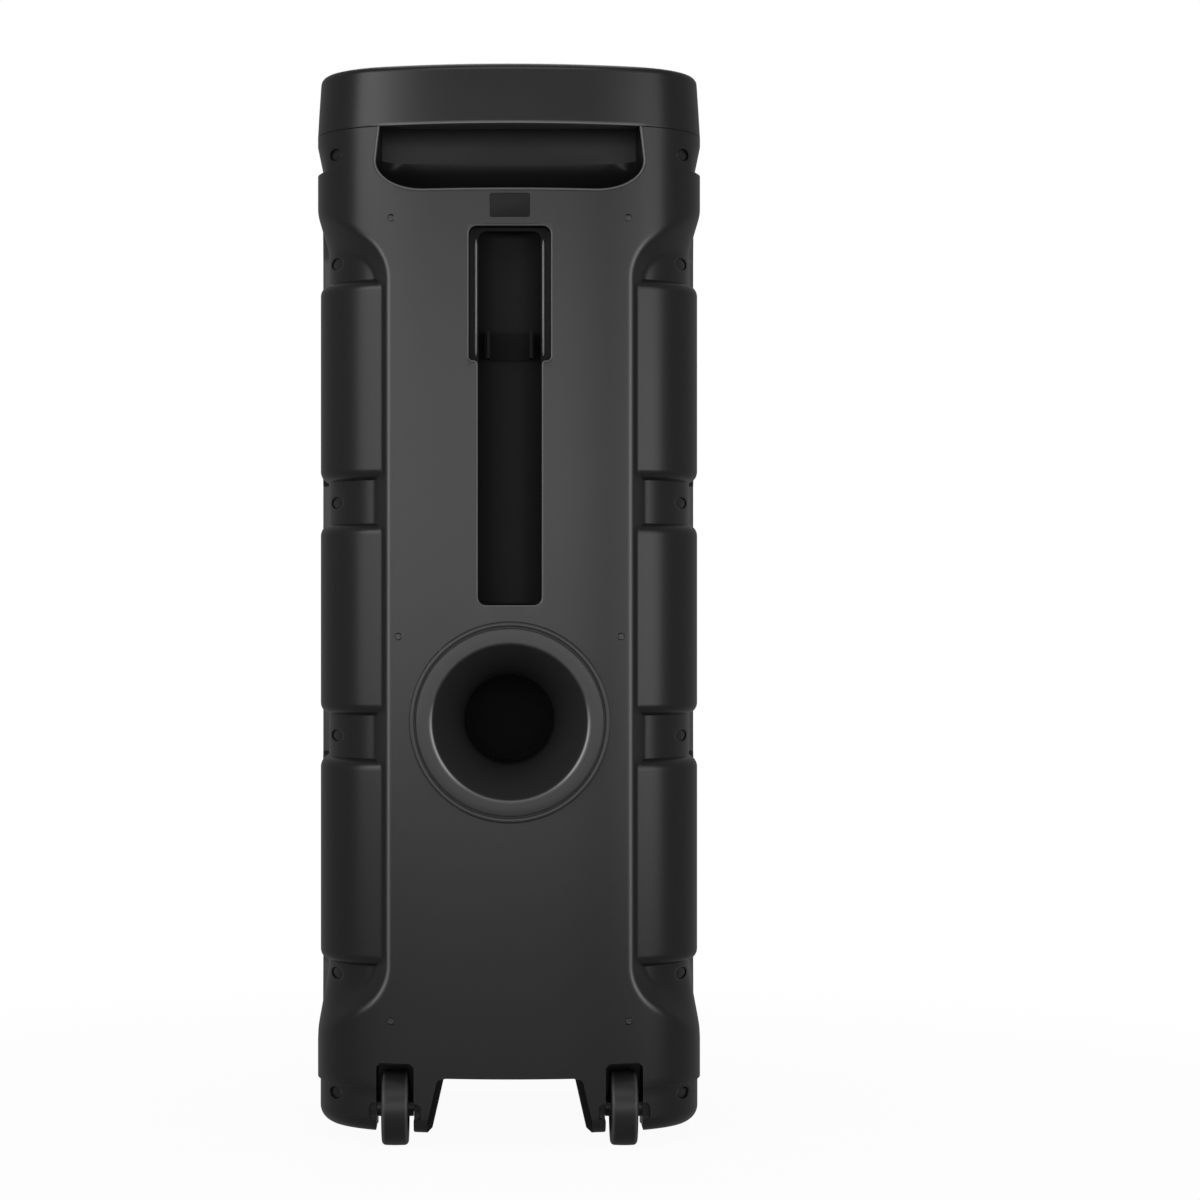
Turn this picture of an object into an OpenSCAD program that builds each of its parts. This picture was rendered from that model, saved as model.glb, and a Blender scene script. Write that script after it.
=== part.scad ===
/* [Cabinet] */
// Overall height, floor to top edge
cab_h = 800; // [780:1:860]
// Width across the sides
cab_w = 290; // [286:1:310]
// Depth, front frame to port flange
cab_d = 300; // [290:1:330]
// Wall of the moulded housings
wall = 4; // [3:0.5:4.5]
// Radius of the shallow arc across the back
rear_r = 330; // [315:5:380]
// Radius of the large rear corners
corner_r = 70; // [66:1:72]
// Radius of the front corners
front_r = 24; // [18:1:28]
// Depth of the front housing
front_d = 110; // [100:1:120]
// Height of the underside above the floor
ground_gap = 11; // [9:0.5:14]
// Height of the cabinet floor's underside
floor_z = 52; // [48:1:56]

/* [Rear relief] */
// Half width of the raised spine
spine_half = 91; // [88:0.5:92]
// Sideways run of the spine's sloping wall
spine_run = 10.5; // [9:0.5:12]
// Radius of the flares that widen the spine at both ends
flare_r = 38; // [34:1:40]
// Rise of the flare's outer edge
flare_angle = 31; // [25:1:35]
// How far the pads lie in from the cabinet's sides
pad_side = 2; // [1:0.5:3]
// How far the pads lie below the spine
pad_rear = 6; // [4:0.5:8]
// How far the notch floors lie in from the sides
notch_side = 8; // [7:0.5:9]
// How far the notch floors lie below the spine
notch_rear = 13; // [11:0.5:14]
// Height of the notch between two pads
notch_h = 33; // [28:1:38]
// Height of the lowest pad's lower edge
pad_z = 133; // [125:1:136]
// Height of the lower pad
low_pad_h = 153.5; // [148:0.5:158]
// Height of the middle pad
mid_pad_h = 142; // [138:0.5:146]
// Height of the belt between the upper pad and the top cap
belt_h = 112; // [108:1:116]
// Length of the rounding at a pad's ends
pad_round = 8; // [6:0.5:10]

/* [Top cap and hand-hold] */
// Height of the top cap
cap_h = 45; // [40:1:50]
// Inward lean of the cap's side over its height
cap_lean = 2.5; // [1:0.5:4]
// Width of the hand-hold
hand_w = 198; // [184:2:200]
// Height of the hand-hold below the cap
hand_h = 47; // [42:1:50]
// Width of the hand-hold's lower corners, which are quarter ellipses
hand_corner_w = 36; // [28:1:40]
// Height of the hand-hold's lower corners
hand_corner_h = 22; // [18:1:26]
// Inward lean of the hand-hold's ends above the corners
hand_lean = 3; // [1:0.5:5]
// Depth of the hand-hold
hand_d = 72; // [66:1:80]
// Thickness of the grip behind the cap's rear face
grip_d = 28; // [24:1:32]
// Wall of the hand-hold's cup
cup_wall = 3; // [2:0.5:3.5]

/* [Microphone dock] */
// Width of the dock's head recess
head_w = 60.5; // [58:0.5:64]
// Height of the dock's head recess
head_h = 99; // [90:1:104]
// Depth of the dock's head recess
head_d = 13; // [11:0.5:16]
// Width of the handle trough
trough_w = 47; // [42:0.5:50]
// Height of the handle trough
trough_h = 268; // [262:1:272]
// Drop from the top cap to the upper end of the trough
dock_drop = 86; // [82:1:90]
// Depth of the straight part of the trough's sides
trough_d = 9; // [6:0.5:12]
// Wall of the dock insert
dock_wall = 2.5; // [2:0.5:3]

/* [Bass port] */
// Drop from the trough's lower end to the port's centre
port_drop = 86; // [83:1:90]
// Radius of the port's flange
flange_r = 74; // [70:1:76]
// Radius of the port's mouth
mouth_r = 57.5; // [54:0.5:60]
// Radius of the port's throat
throat_r = 34; // [30:1:36]
// Length of the port's flare
flare_l = 62; // [50:1:70]
// Power of the flare's curve: 1 is a plain cone
flare_power = 1.35; // [1.2:0.05:1.6]
// Length of the whole port
port_l = 150; // [140:1:155]
// Wall of the port tube
port_wall = 3; // [2.5:0.5:3.5]
// How far the port's flange stands proud of the spine
port_proud = 2.5; // [1.5:0.5:4]

/* [Wheels and feet] */
// Wheel radius
wheel_r = 28; // [26:0.5:29]
// Width of the tyre
tyre_w = 20; // [18:0.5:22]
// Distance of each wheel from the middle
wheel_x = 84.7; // [83:0.5:87]
// How far the axle lies in front of the port flange
axle_in = 32; // [31:0.5:34]
// Axle radius
axle_r = 3; // [2.5:0.25:4]
// Width of the wheel pocket
pocket_w = 27.7; // [26:0.5:29]
// Running clearance of the wheel on its axle
wheel_fit = 0.05; // [0.02:0.01:0.1]
// Radius of the rubber feet
foot_r = 14; // [12:1:16]

/* [Drivers] */
// Outer radius of the woofer frame
woofer_r = 80; // [78:0.5:80.5]
// Outer radius of the woofer cone
cone_r = 61; // [59:0.5:62]
// Radius of the voice coil
coil_r = 17.4; // [16:0.2:18]
// Travel of the cone each way
cone_travel = 5; // [3:0.5:6]
// Outer radius of the tweeter's horn
horn_r = 66; // [60:1:72]
// Thickness of the baffle
baffle_t = 12; // [10:0.5:14]
// Outer radius of the light rings
light_r = 87; // [85.5:0.5:88]

/* [Control panel] */
// Width of the panel
panel_w = 230; // [220:2:236]
// Depth of the panel
panel_d = 136; // [130:1:140]
// Radius of the volume knob
knob_r = 28; // [24:1:30]
// Radius of the push buttons
button_r = 8; // [6:0.5:9]
// Travel of the push buttons
button_travel = 1.5; // [1:0.1:2]

/* [Hidden] */
$fn = 64;

half_w = cab_w / 2;
front_y = -cab_d / 2;
rear_y = cab_d / 2 - port_proud;
split_y = front_y + front_d;
cap_z = cab_h - cap_h;
snug = 0.15;        // gap round an insert in its cut-out
gap = 0.3;          // gap between pieces that move past each other
root = 0.5;         // how far a raised form reaches into the wall that carries it
past = 1;           // how far a cutter runs past the face that it cuts

// ---- Plan outlines -------------------------------------------------------------------

function arc(x, y, r, from, to, steps, skip = 0, drop = 0) =
    [for (i = [skip:steps - drop])
        let (a = from + (to - from) * i / steps)
        [x + r * cos(a), y + r * sin(a)]];

// Centre of the right rear corner for an outline lying in from the sides and the rear
function corner_x(side_in) = half_w - side_in - corner_r;
function corner_y(side_in, rear_in) =
    rear_y - rear_in - rear_r
    + sqrt(pow(rear_r - corner_r, 2) - pow(corner_x(side_in), 2));

// Rear curve from the right side to the left: corner, shallow arc, corner, all tangent
function rear_curve(side_in, rear_in, skin) =
    let (cx = corner_x(side_in), cy = corner_y(side_in, rear_in),
         by = rear_y - rear_in - rear_r, a = atan2(cy - by, cx))
    concat(arc(cx, cy, corner_r - skin, 0, a, 14),
           arc(0, by, rear_r - skin, a, 180 - a, 16, 1, 1),
           arc(-cx, cy, corner_r - skin, 180 - a, 180, 14));

// Front curve from the left side to the right: two equal corners
function front_curve(side_in, skin) =
    let (x = half_w - side_in - front_r, y = front_y + front_r)
    concat(arc(-x, y, front_r - skin, 180, 270, 10),
           arc(x, y, front_r - skin, 270, 360, 10));

function rear_plan(side_in, rear_in, skin = 0, from_y = split_y) =
    let (x = half_w - side_in - skin)
    concat([[x, from_y]], rear_curve(side_in, rear_in, skin), [[-x, from_y]]);

function front_plan(side_in, skin = 0, to_y = split_y) =
    let (x = half_w - side_in - skin)
    concat([[-x, to_y]], front_curve(side_in, skin), [[x, to_y]]);

function full_plan(skin = 0) = concat(rear_curve(0, 0, skin), front_curve(0, skin));

// Depth of an outline's rear face at a distance x from the middle
function face_y(x, side_in = 0, rear_in = 0) =
    let (cx = corner_x(side_in), touch = cx * rear_r / (rear_r - corner_r))
    abs(x) < touch
        ? rear_y - rear_in - rear_r + sqrt(rear_r * rear_r - x * x)
        : corner_y(side_in, rear_in) + sqrt(corner_r * corner_r - pow(abs(x) - cx, 2));

module rear_slab(z, h, side_in = 0, rear_in = 0, skin = 0, from_y = split_y)
    translate([0, 0, z])
        linear_extrude(h) polygon(rear_plan(side_in, rear_in, skin, from_y));

module front_slab(z, h, side_in = 0, skin = 0)
    translate([0, 0, z]) linear_extrude(h) polygon(front_plan(side_in, skin));

module full_slab(z, h, skin = 0)
    translate([0, 0, z]) linear_extrude(h) polygon(full_plan(skin));

module both_sides() {
    children();
    mirror([1, 0, 0]) children();
}

// Box given by its corners
module block(from, to) translate(from) cube(to - from);

// Turns a shape built up along +Z so that it runs along +Y, into the cabinet from its front
module along_y() rotate([-90, 0, 0]) children();

// Plate in the XZ plane, from one depth to another, of a 2D shape drawn in X and Z
module upright(from_y, to_y)
    translate([0, to_y, 0]) rotate([90, 0, 0]) linear_extrude(to_y - from_y) children();

module rounded_rect(w, h, r) {
    square([w - 2 * r, h], center = true);
    square([w, h - 2 * r], center = true);
    for (x = [-1, 1], y = [-1, 1]) translate([x * (w / 2 - r), y * (h / 2 - r)]) circle(r);
}

// ---- Rear housing --------------------------------------------------------------------

top_pad_z = pad_z + low_pad_h + mid_pad_h + 2 * notch_h;
pads = [
    [pad_z, low_pad_h],
    [pad_z + low_pad_h + notch_h, mid_pad_h],
    [top_pad_z, cap_z - belt_h - top_pad_z]
];
pads_top = pads[2][0] + pads[2][1];
foot_x = spine_half + spine_run;
foot_y = face_y(foot_x, notch_side, notch_rear);
edge_y = face_y(spine_half);
top_flare_z = pads_top - 1;
low_flare_z = pad_z + 3;
flare_x = spine_half + flare_r;
ramp_h = 18;           // rise of the ramps from the notch level out to the two belts
top_ramp_z = top_flare_z + 36;
low_ramp_z = low_flare_z - 24;
neck_h = 22;
neck_z = cap_z - neck_h - 7;
neck_side = 4;
plinth_h = 33;
plinth_side = 2;
plinth_z = ground_gap + plinth_h;
rim_y = split_y + 36;  // back edge of the full-width rim along the parting line

// One pad: the corner and side stand out of the notch floor, with rounded ends
module pad(z, h)
    hull() {
        rear_slab(z, h, notch_side + root, notch_rear + root);
        rear_slab(z + 0.3 * pad_round, h - 0.6 * pad_round, (pad_side + notch_side) / 2,
                  (pad_rear + notch_rear) / 2);
        rear_slab(z + pad_round, h - 2 * pad_round, pad_side, pad_rear);
    }

// Ramp between the notch floor at one height and the full outline at another
module belt_ramp(notch_level, full_level)
    hull() {
        rear_slab(notch_level, 0.5, notch_side + root, notch_rear + root);
        rear_slab(full_level, 0.5);
    }

// Spine between its flares: a shallow arc with a sloping wall down each edge
module spine(z, h)
    translate([0, 0, z]) linear_extrude(h)
        polygon(concat(
            [[foot_x, foot_y - wall], [foot_x, foot_y]],
            [for (i = [0:20]) let (x = spine_half * (1 - i / 10)) [x, face_y(x)]],
            [[-foot_x, foot_y], [-foot_x, foot_y - wall]]));

// Cuts the full outline back beside and under one flare, with the spine's sloping wall
// carried round a quarter turn and out along a straight rise
module flare_cut() {
    wall_profile = [[0, split_y - past], [flare_r - spine_run, split_y - past],
                    [flare_r - spine_run, foot_y], [flare_r, edge_y],
                    [flare_r, rear_y + past], [0, rear_y + past]];
    reach = half_w;
    translate([flare_x, 0, 0]) {
        along_y() rotate_extrude() polygon(wall_profile);
        rotate([0, -90 - flare_angle, 0])
            translate([0, 0, -reach]) linear_extrude(reach) polygon(wall_profile);
        upright(split_y - past, rear_y + past)
            polygon([[0, 0], [reach * cos(flare_angle), reach * sin(flare_angle)],
                     [reach * cos(flare_angle), -past], [0, -past]]);
    }
}

module flared_end(z, h, flare_z, up)
    difference() {
        rear_slab(z, h);
        both_sides() translate([0, 0, flare_z]) mirror([0, 0, up ? 0 : 1]) flare_cut();
    }

module rear_outer() {
    rear_slab(plinth_z - past, cap_z - plinth_z, notch_side, notch_rear);
    for (p = pads) pad(p[0], p[1]);
    spine(low_flare_z - past, top_flare_z - low_flare_z + 2 * past);
    flared_end(top_flare_z, neck_z - top_flare_z, top_flare_z, true);
    flared_end(plinth_z, low_flare_z - plinth_z, low_flare_z, false);
    block([-half_w, split_y, plinth_z - past], [half_w, rim_y, neck_z]);
    belt_ramp(top_ramp_z, top_ramp_z + ramp_h);
    belt_ramp(low_ramp_z, low_ramp_z - 1.5 * ramp_h);
    hull() {
        rear_slab(neck_z, 3, neck_side);
        rear_slab(neck_z + neck_h, cap_z - neck_z - neck_h);
    }
    hull() {
        rear_slab(ground_gap, plinth_h, plinth_side, 0, 6);
        rear_slab(ground_gap + 3, plinth_h - 3, plinth_side, 0, 1.8);
        rear_slab(ground_gap + 8, plinth_h - 8, plinth_side);
    }
}

axle_y = cab_d / 2 - axle_in;
pocket_front = axle_y - wheel_r - 4;
pocket_top = wheel_r * 2 + 7;
pocket_skin = 3;
arch_foot = 57.4;
arch_top = 48;
arch_slope = (arch_foot - arch_top) / (floor_z - ground_gap);

module wheel_pocket(grow = 0)
    translate([wheel_x, 0, 0])
        block([-pocket_w / 2 - grow, pocket_front - grow, ground_gap - past],
              [pocket_w / 2 + grow, rear_y + past, pocket_top + grow]);

// Space between the wheel legs, narrower at its top
module arch(grow = 0, to_y = rear_y + past)
    upright(split_y - past, to_y)
        polygon([[-arch_foot - grow - arch_slope * past, ground_gap - past],
                 [-arch_top - grow, floor_z + grow],
                 [arch_top + grow, floor_z + grow],
                 [arch_foot + grow + arch_slope * past, ground_gap - past]]);

hand_x = hand_w / 2;
hand_z = cap_z - hand_h;
grip_y = rear_y - grip_d;
cup_y = rear_y - hand_d;

hand_top_x = hand_x - hand_lean;

// Lower corner of the hand-hold at one end, from the side down to the bottom edge
function hand_corner(grow, side) =
    [for (t = [0:7.5:90])
        [side * (hand_x - hand_corner_w + (hand_corner_w + grow) * cos(t)),
         hand_z + hand_corner_h - (hand_corner_h + grow) * sin(t)]];

// Outline of the hand-hold in X and Z: straight top, leaning ends, elliptical lower corners
module hand_outline(grow = 0, top = 0) {
    left = hand_corner(grow, -1);
    polygon(concat([[hand_top_x + grow, cap_z + top]], hand_corner(grow, 1),
                   [for (i = [len(left) - 1:-1:0]) left[i]], [[-hand_top_x - grow, cap_z + top]]));
}

trough_z = cap_z - dock_drop - trough_h;
head_z = trough_z + trough_h + 11 - head_h;
head_r = 6;
port_z = trough_z - port_drop;
blank_w = 30;
blank_h = 18;
blank_z = cap_z - 60;
blank_d = 1;

module head_outline(grow = 0)
    translate([0, head_z + head_h / 2])
        rounded_rect(head_w + 2 * grow, head_h + 2 * grow, head_r + grow);

module trough_outline(grow = 0)
    translate([0, trough_z + trough_h / 2])
        rounded_rect(trough_w + 2 * grow, trough_h + 2 * grow, head_r + grow);

module dock_outline(grow = 0) {
    head_outline(grow);
    trough_outline(grow);
}

rear_screws_at = [
    [88, ground_gap + 83], [82.5, port_z + 63], [88, cap_z - 68]
];
rear_screw_r = 2.5;
boss_r = 6;
boss_l = 26;
screw_seat = 4;         // depth of a rear screw's head seat below the spine

side_screw_x = half_w - 15.5;
foot_screw_z = ground_gap + 26;
side_screws_z = [
    foot_screw_z, pad_z - 9, pads[1][0] - notch_h / 2, pads[2][0] - notch_h / 2,
    pads_top + 15, neck_z + 11
];
side_well_r = 4.5;
side_pilot_r = 1.9;
side_screw_y = split_y + 12;

tray_y = 100;
tray_x = 70;
tray_z = [port_z - 165, port_z - 90];
tray_t = 2;
tray_rim = 10;          // how far the tray's plate reaches past its screws

// Rib that ties the lowest side post to the skirt beside it
module side_rib(from_y, to_y)
    block([side_screw_x, from_y, foot_screw_z - 2], [half_w - plinth_side - root, to_y, foot_screw_z + 2]);

module rear_bosses()
    both_sides() {
        for (s = rear_screws_at)
            translate([s[0], face_y(s[0]) - boss_l, s[1]]) along_y() cylinder(h = boss_l - 2, r = boss_r);
        for (z = side_screws_z)
            translate([side_screw_x, split_y, z]) along_y()
                cylinder(h = corner_y(notch_side, notch_rear) - split_y, r = side_well_r + 2.5);
        translate([side_screw_x, split_y, foot_screw_z]) along_y()
            cylinder(h = corner_y(plinth_side, 0) + 25 - split_y, r = side_well_r + 2.5);
        side_rib(split_y, corner_y(plinth_side, 0));
        for (z = tray_z)
            translate([tray_x, tray_y + tray_t, z]) along_y()
                cylinder(h = face_y(tray_x) - tray_y - tray_t - 2, r = boss_r);
    }

module rear_cavity() {
    rear_slab(floor_z + wall, cap_z, notch_side, notch_rear, wall, split_y - past);
    translate([0, 0, floor_z + wall]) linear_extrude(cap_z)
        intersection() {
            polygon(rear_plan(0, 0, wall, split_y - past));
            translate([0, rear_y / 2]) square([2 * (spine_half - wall), rear_y], center = true);
        }
    block([-half_w + wall, split_y - past, floor_z + wall], [half_w - wall, rim_y - wall, neck_z - wall]);
}

// Flat seat for the port's flange, raised on the inside of the curved wall
port_seat = rear_y - face_y(flange_r) + 0.5;

module port_boss()
    intersection() {
        translate([0, rear_y - port_seat - 5, port_z]) along_y() cylinder(h = 40, r = flange_r + 4);
        rear_slab(port_z - 2 * flange_r, 4 * flange_r);
    }

inlet_y = split_y + 34;
inlet_w = 26;
inlet_l = 18;

module rear_housing() {
    color([0.13, 0.13, 0.135])
        difference() {
            union() {
                difference() {
                    rear_outer();
                    rear_cavity();
                    rear_slab(ground_gap - past, floor_z - ground_gap + past, plinth_side, 0,
                              wall, split_y - past);
                }
                both_sides() {
                    translate([0, 0, ground_gap]) linear_extrude(pocket_top + pocket_skin - ground_gap)
                        polygon([[wheel_x - pocket_w / 2 - pocket_skin, pocket_front - pocket_skin],
                                 [wheel_x + pocket_w / 2 + pocket_skin, pocket_front - pocket_skin],
                                 [wheel_x + pocket_w / 2 + pocket_skin, edge_y - 10],
                                 [wheel_x - pocket_w / 2 - pocket_skin, edge_y - 2]]);
                }
                upright(split_y, rear_y - 8)
                    polygon([[-arch_foot - pocket_skin, ground_gap],
                             [-arch_top - pocket_skin, floor_z + past],
                             [arch_top + pocket_skin, floor_z + past],
                             [arch_foot + pocket_skin, ground_gap]]);
                rear_bosses();
                port_boss();
            }
            both_sides() {
                wheel_pocket();
                translate([wheel_x, 0, 0])
                    block([-pocket_w / 2, pocket_front - 2 * pocket_skin, ground_gap - past],
                          [pocket_w / 2, pocket_front + past, wheel_r - 2]);
                translate([wheel_x - pocket_w / 2 - 3 * pocket_skin, axle_y, wheel_r]) rotate([0, 90, 0])
                    cylinder(h = pocket_w + 6 * pocket_skin, r = axle_r);
                block([wheel_x - pocket_w / 2 - 5, axle_y + 2 * axle_r, wheel_r - 5],
                      [wheel_x + pocket_w / 2 + 4, rear_y, wheel_r + 4]);
                for (s = rear_screws_at)
                    translate([s[0], face_y(s[0]) - boss_l - past, s[1]]) along_y() {
                        cylinder(h = boss_l + 4, r = 1.6);
                        translate([0, 0, boss_l + past - screw_seat])
                            cylinder(h = screw_seat + 3, r = rear_screw_r + gap);
                    }
                for (z = side_screws_z)
                    translate([side_screw_x, split_y - past, z]) along_y() {
                        cylinder(h = 20, r = side_pilot_r);
                        translate([0, 0, side_screw_y - split_y + past]) cylinder(h = rear_y, r = side_well_r);
                    }
                for (z = tray_z)
                    translate([tray_x, tray_y, z]) along_y() cylinder(h = 16, r = 1.6);
            }
            arch();
            upright(rear_y - blank_d, rear_y + past) translate([0, blank_z]) rounded_rect(blank_w, blank_h, 2);
            upright(cup_y, rear_y + past) hand_outline(cup_wall + snug, past);
            upright(tray_y, rear_y + past) dock_outline(dock_wall + snug);
            translate([0, rear_y - port_seat - 10, port_z]) along_y()
                cylinder(h = 40, r = mouth_r + port_wall + snug);
            translate([0, rear_y - port_seat, port_z]) along_y() cylinder(h = 40, r = flange_r + snug);
            translate([0, inlet_y, floor_z - past]) linear_extrude(wall + 2 * past)
                rounded_rect(inlet_w - 4 + 2 * snug, inlet_l - 4 + 2 * snug, 2);
        }
}

// ---- Front housing, baffle and grille ------------------------------------------------

drivers_z = [for (p = pads) p[0] + p[1] / 2];
bezel = 16;
pocket_z = floor_z + 10;
pocket_h = cap_z - 13 - pocket_z;
pocket_x = half_w - bezel;
pocket_mid = pocket_z + pocket_h / 2;
pocket_r = 22;
baffle_y = front_y + 22;
baffle_back = baffle_y + baffle_t;
ledge = 12;
foot_x0 = half_w - 40;
foot_y0 = front_y + 38;
baffle_screw_x = pocket_x - 7.5;
baffle_screws_z = [pocket_z + 45, pocket_mid - 88, pocket_mid + 88, pocket_z + pocket_h - 45];

module pocket_outline(inset)
    translate([0, pocket_mid])
        rounded_rect(2 * (pocket_x - inset), pocket_h - 2 * inset, pocket_r - inset);

module front_outer() {
    front_slab(plinth_z - past, cap_z - plinth_z + past);
    hull() {
        front_slab(ground_gap, plinth_h, plinth_side, 6);
        front_slab(ground_gap + 3, plinth_h - 3, plinth_side, 1.8);
        front_slab(ground_gap + 8, plinth_h - 8, plinth_side);
    }
}

module front_housing() {
    color([0.12, 0.12, 0.125])
        difference() {
            union() {
                difference() {
                    front_outer();
                    block([-half_w + wall, baffle_back + wall, floor_z + wall],
                          [half_w - wall, split_y + past, cap_z + past]);
                    block([-half_w + plinth_side + wall, front_y + front_r, ground_gap - past],
                          [half_w - plinth_side - wall, split_y + past, floor_z]);
                    block([-half_w + front_r, front_y + wall, ground_gap - past],
                          [half_w - front_r, front_y + front_r + past, floor_z]);
                }
                both_sides() {
                    for (z = side_screws_z)
                        translate([side_screw_x, baffle_back, z]) along_y()
                            cylinder(h = split_y - baffle_back, r = side_well_r + 2.5);
                    side_rib(baffle_back, split_y);
                    translate([foot_x0, foot_y0, ground_gap])
                        cylinder(h = floor_z - ground_gap + past, r = foot_r + 2);
                }
            }
            upright(front_y - past, baffle_back) pocket_outline(0);
            upright(front_y - past, baffle_back + wall + past) pocket_outline(ledge);
            both_sides() {
                for (z = side_screws_z)
                    translate([side_screw_x, split_y - 20, z]) along_y() cylinder(h = 21, r = side_pilot_r);
                for (z = baffle_screws_z)
                    translate([baffle_screw_x, baffle_y, z]) along_y() cylinder(h = 30, r = 1.7);
                translate([foot_x0, foot_y0, ground_gap - past]) cylinder(h = 12 + past, r = 4);
            }
        }
}

// Places its children on the axis of each driver, built up along +Z into the cabinet
module at_driver(i) translate([0, baffle_y, drivers_z[i]]) along_y() children();

woofer_hole_r = woofer_r - 8;
horn_hole_r = horn_r - 8;
woofer_screws = 6;
horn_screws = 4;
screw_r = 1.6;

module screw_circle(r, count) for (i = [0:count - 1]) rotate(360 * (i + 0.5) / count) translate([r, 0, 0]) children();

module baffle() {
    color([0.1, 0.1, 0.1])
        difference() {
            upright(baffle_y, baffle_back) pocket_outline(gap);
            for (i = [0, 1])
                at_driver(i) {
                    translate([0, 0, -past]) cylinder(h = baffle_t + 2 * past, r = woofer_hole_r);
                    screw_circle(woofer_r - 4.5, woofer_screws)
                        translate([0, 0, -past]) cylinder(h = baffle_t + 2 * past, r = screw_r + 0.1);
                }
            at_driver(2) {
                translate([0, 0, -past]) cylinder(h = baffle_t + 2 * past, r = horn_hole_r);
                screw_circle(horn_r - 4, horn_screws)
                    translate([0, 0, -past]) cylinder(h = baffle_t + 2 * past, r = screw_r + 0.1);
            }
            both_sides() for (z = baffle_screws_z)
                translate([baffle_screw_x, baffle_y - past, z]) along_y() cylinder(h = 30, r = 1.8);
        }
}

lip_d = 5;
lip_w = 12;
skirt_w = 3;
grille_t = 1.5;

module grille_frame() {
    color([0.06, 0.06, 0.065])
        difference() {
            upright(front_y, baffle_y) pocket_outline(gap);
            upright(front_y - past, front_y + lip_d + past) pocket_outline(lip_w);
            upright(front_y + lip_d, baffle_y + past) pocket_outline(gap + skirt_w);
        }
}

cell = 20;
web = 3.5;

// Flat steel sheet with staggered six-sided openings
module front_grille() {
    reach_x = pocket_x - lip_w - cell / 2;
    reach_z = pocket_h / 2 - lip_w - cell / 2;
    turn = cell * 0.7;
    rows = floor(reach_z / (cell * 0.866));
    columns = floor(reach_x / cell);
    color([0.05, 0.05, 0.05])
        upright(front_y + lip_d, front_y + lip_d + grille_t)
            difference() {
                pocket_outline(2 * gap + skirt_w);
                for (row = [-rows:rows], column = [-columns:columns]) {
                    x = cell * (column + (row % 2 == 0 ? 0 : 0.5));
                    z = cell * 0.866 * row;
                    over_x = max(abs(x) - reach_x + turn, 0);
                    over_z = max(abs(z) - reach_z + turn, 0);
                    if (norm([over_x, over_z]) < turn)
                        translate([x, pocket_mid + z]) rotate(30) circle(r = (cell - web) / 1.732, $fn = 6);
                }
            }
}

ring_d = 14;
ring_w = 6;

module light_rings() {
    color([0.85, 0.88, 0.9])
        for (i = [0:2])
            at_driver(i) difference() {
                translate([0, 0, -ring_d]) cylinder(h = ring_d, r = light_r);
                translate([0, 0, -ring_d - past]) cylinder(h = ring_d + 2 * past, r = light_r - ring_w);
                translate([0, 0, -ring_d + 3]) difference() {
                    cylinder(h = ring_d, r = light_r - 1.5);
                    translate([0, 0, -past]) cylinder(h = ring_d + past, r = light_r - ring_w + 1.5);
                }
            }
}

module led_boards() {
    color([0.1, 0.35, 0.15])
        for (i = [0:2])
            at_driver(i) difference() {
                translate([0, 0, -1.6]) cylinder(h = 1.6, r = light_r - 1.5 - gap);
                translate([0, 0, -1.6 - past]) cylinder(h = 1.6 + 2 * past, r = light_r - ring_w + 1.5 + gap);
            }
}

// ---- Drivers -------------------------------------------------------------------------

gasket_t = 1;
flange_t = 4;
seat_z = -gasket_t - flange_t;
basket_d = 39;
neck_r = coil_r + 2.6;
magnet_r = 50;

module woofer_frame(i) {
    rim = woofer_hole_r - 0.5;
    foot = magnet_r - 3;
    color([0.12, 0.12, 0.12])
        at_driver(i) difference() {
            rotate_extrude()
                polygon([[cone_r + 5, seat_z], [woofer_r, seat_z], [woofer_r, -gasket_t], [rim, -gasket_t],
                         [rim, 3], [foot, basket_d - 1], [foot, basket_d + 2], [neck_r, basket_d + 2],
                         [neck_r, basket_d], [foot - 2.5, basket_d], [foot - 2.5, basket_d - 1.5],
                         [rim - 2.5, 2.5], [rim - 2.5, -gasket_t - 1], [cone_r + 5, -gasket_t - 1]]);
            for (k = [0:5]) rotate(60 * k + 30) translate([rim - 12, 0, 8 + basket_d / 2 - 9])
                cube([44, 34, basket_d - 16], center = true);
            screw_circle(woofer_r - 4.5, woofer_screws)
                translate([0, 0, seat_z - past]) cylinder(h = flange_t + 2 * past, r = screw_r + 0.1);
        }
}

module woofer_magnet(i) {
    z = basket_d + 2;
    plate = 5;
    ferrite = 16;
    color([0.35, 0.35, 0.37])
        at_driver(i) rotate_extrude()
            polygon([[0, z], [coil_r - 1.2, z], [coil_r - 1.2, z + plate + ferrite], [coil_r + 5, z + plate + ferrite],
                     [coil_r + 5, z + plate], [coil_r + 1, z + plate], [coil_r + 1, z], [magnet_r - 4, z],
                     [magnet_r - 4, z + plate], [magnet_r, z + plate], [magnet_r, z + plate + ferrite],
                     [magnet_r - 4, z + plate + ferrite], [magnet_r - 4, z + 2 * plate + ferrite + 1],
                     [0, z + 2 * plate + ferrite + 1]]);
}

cone_neck_z = 16;

// Paper cone with its domed dust cap
module woofer_cone(i) {
    z = seat_z - 1;
    color([0.16, 0.16, 0.17])
        at_driver(i) {
            rotate_extrude()
                polygon([[cone_r, z], [cone_r, z + 1], [cone_r - 2, z + 1], [coil_r + 0.8, cone_neck_z],
                         [coil_r, cone_neck_z], [coil_r, cone_neck_z - 2.5], [cone_r - 3.5, z]]);
            rotate_extrude()
                polygon(concat([for (a = [0:9:90]) [(coil_r + 3) * sin(a), 5 + 7 * (1 - cos(a))]],
                               [for (a = [90:-9:0]) [(coil_r + 3) * sin(a) * 0.94, 6 + 7 * (1 - cos(a))]]));
        }
}

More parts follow.
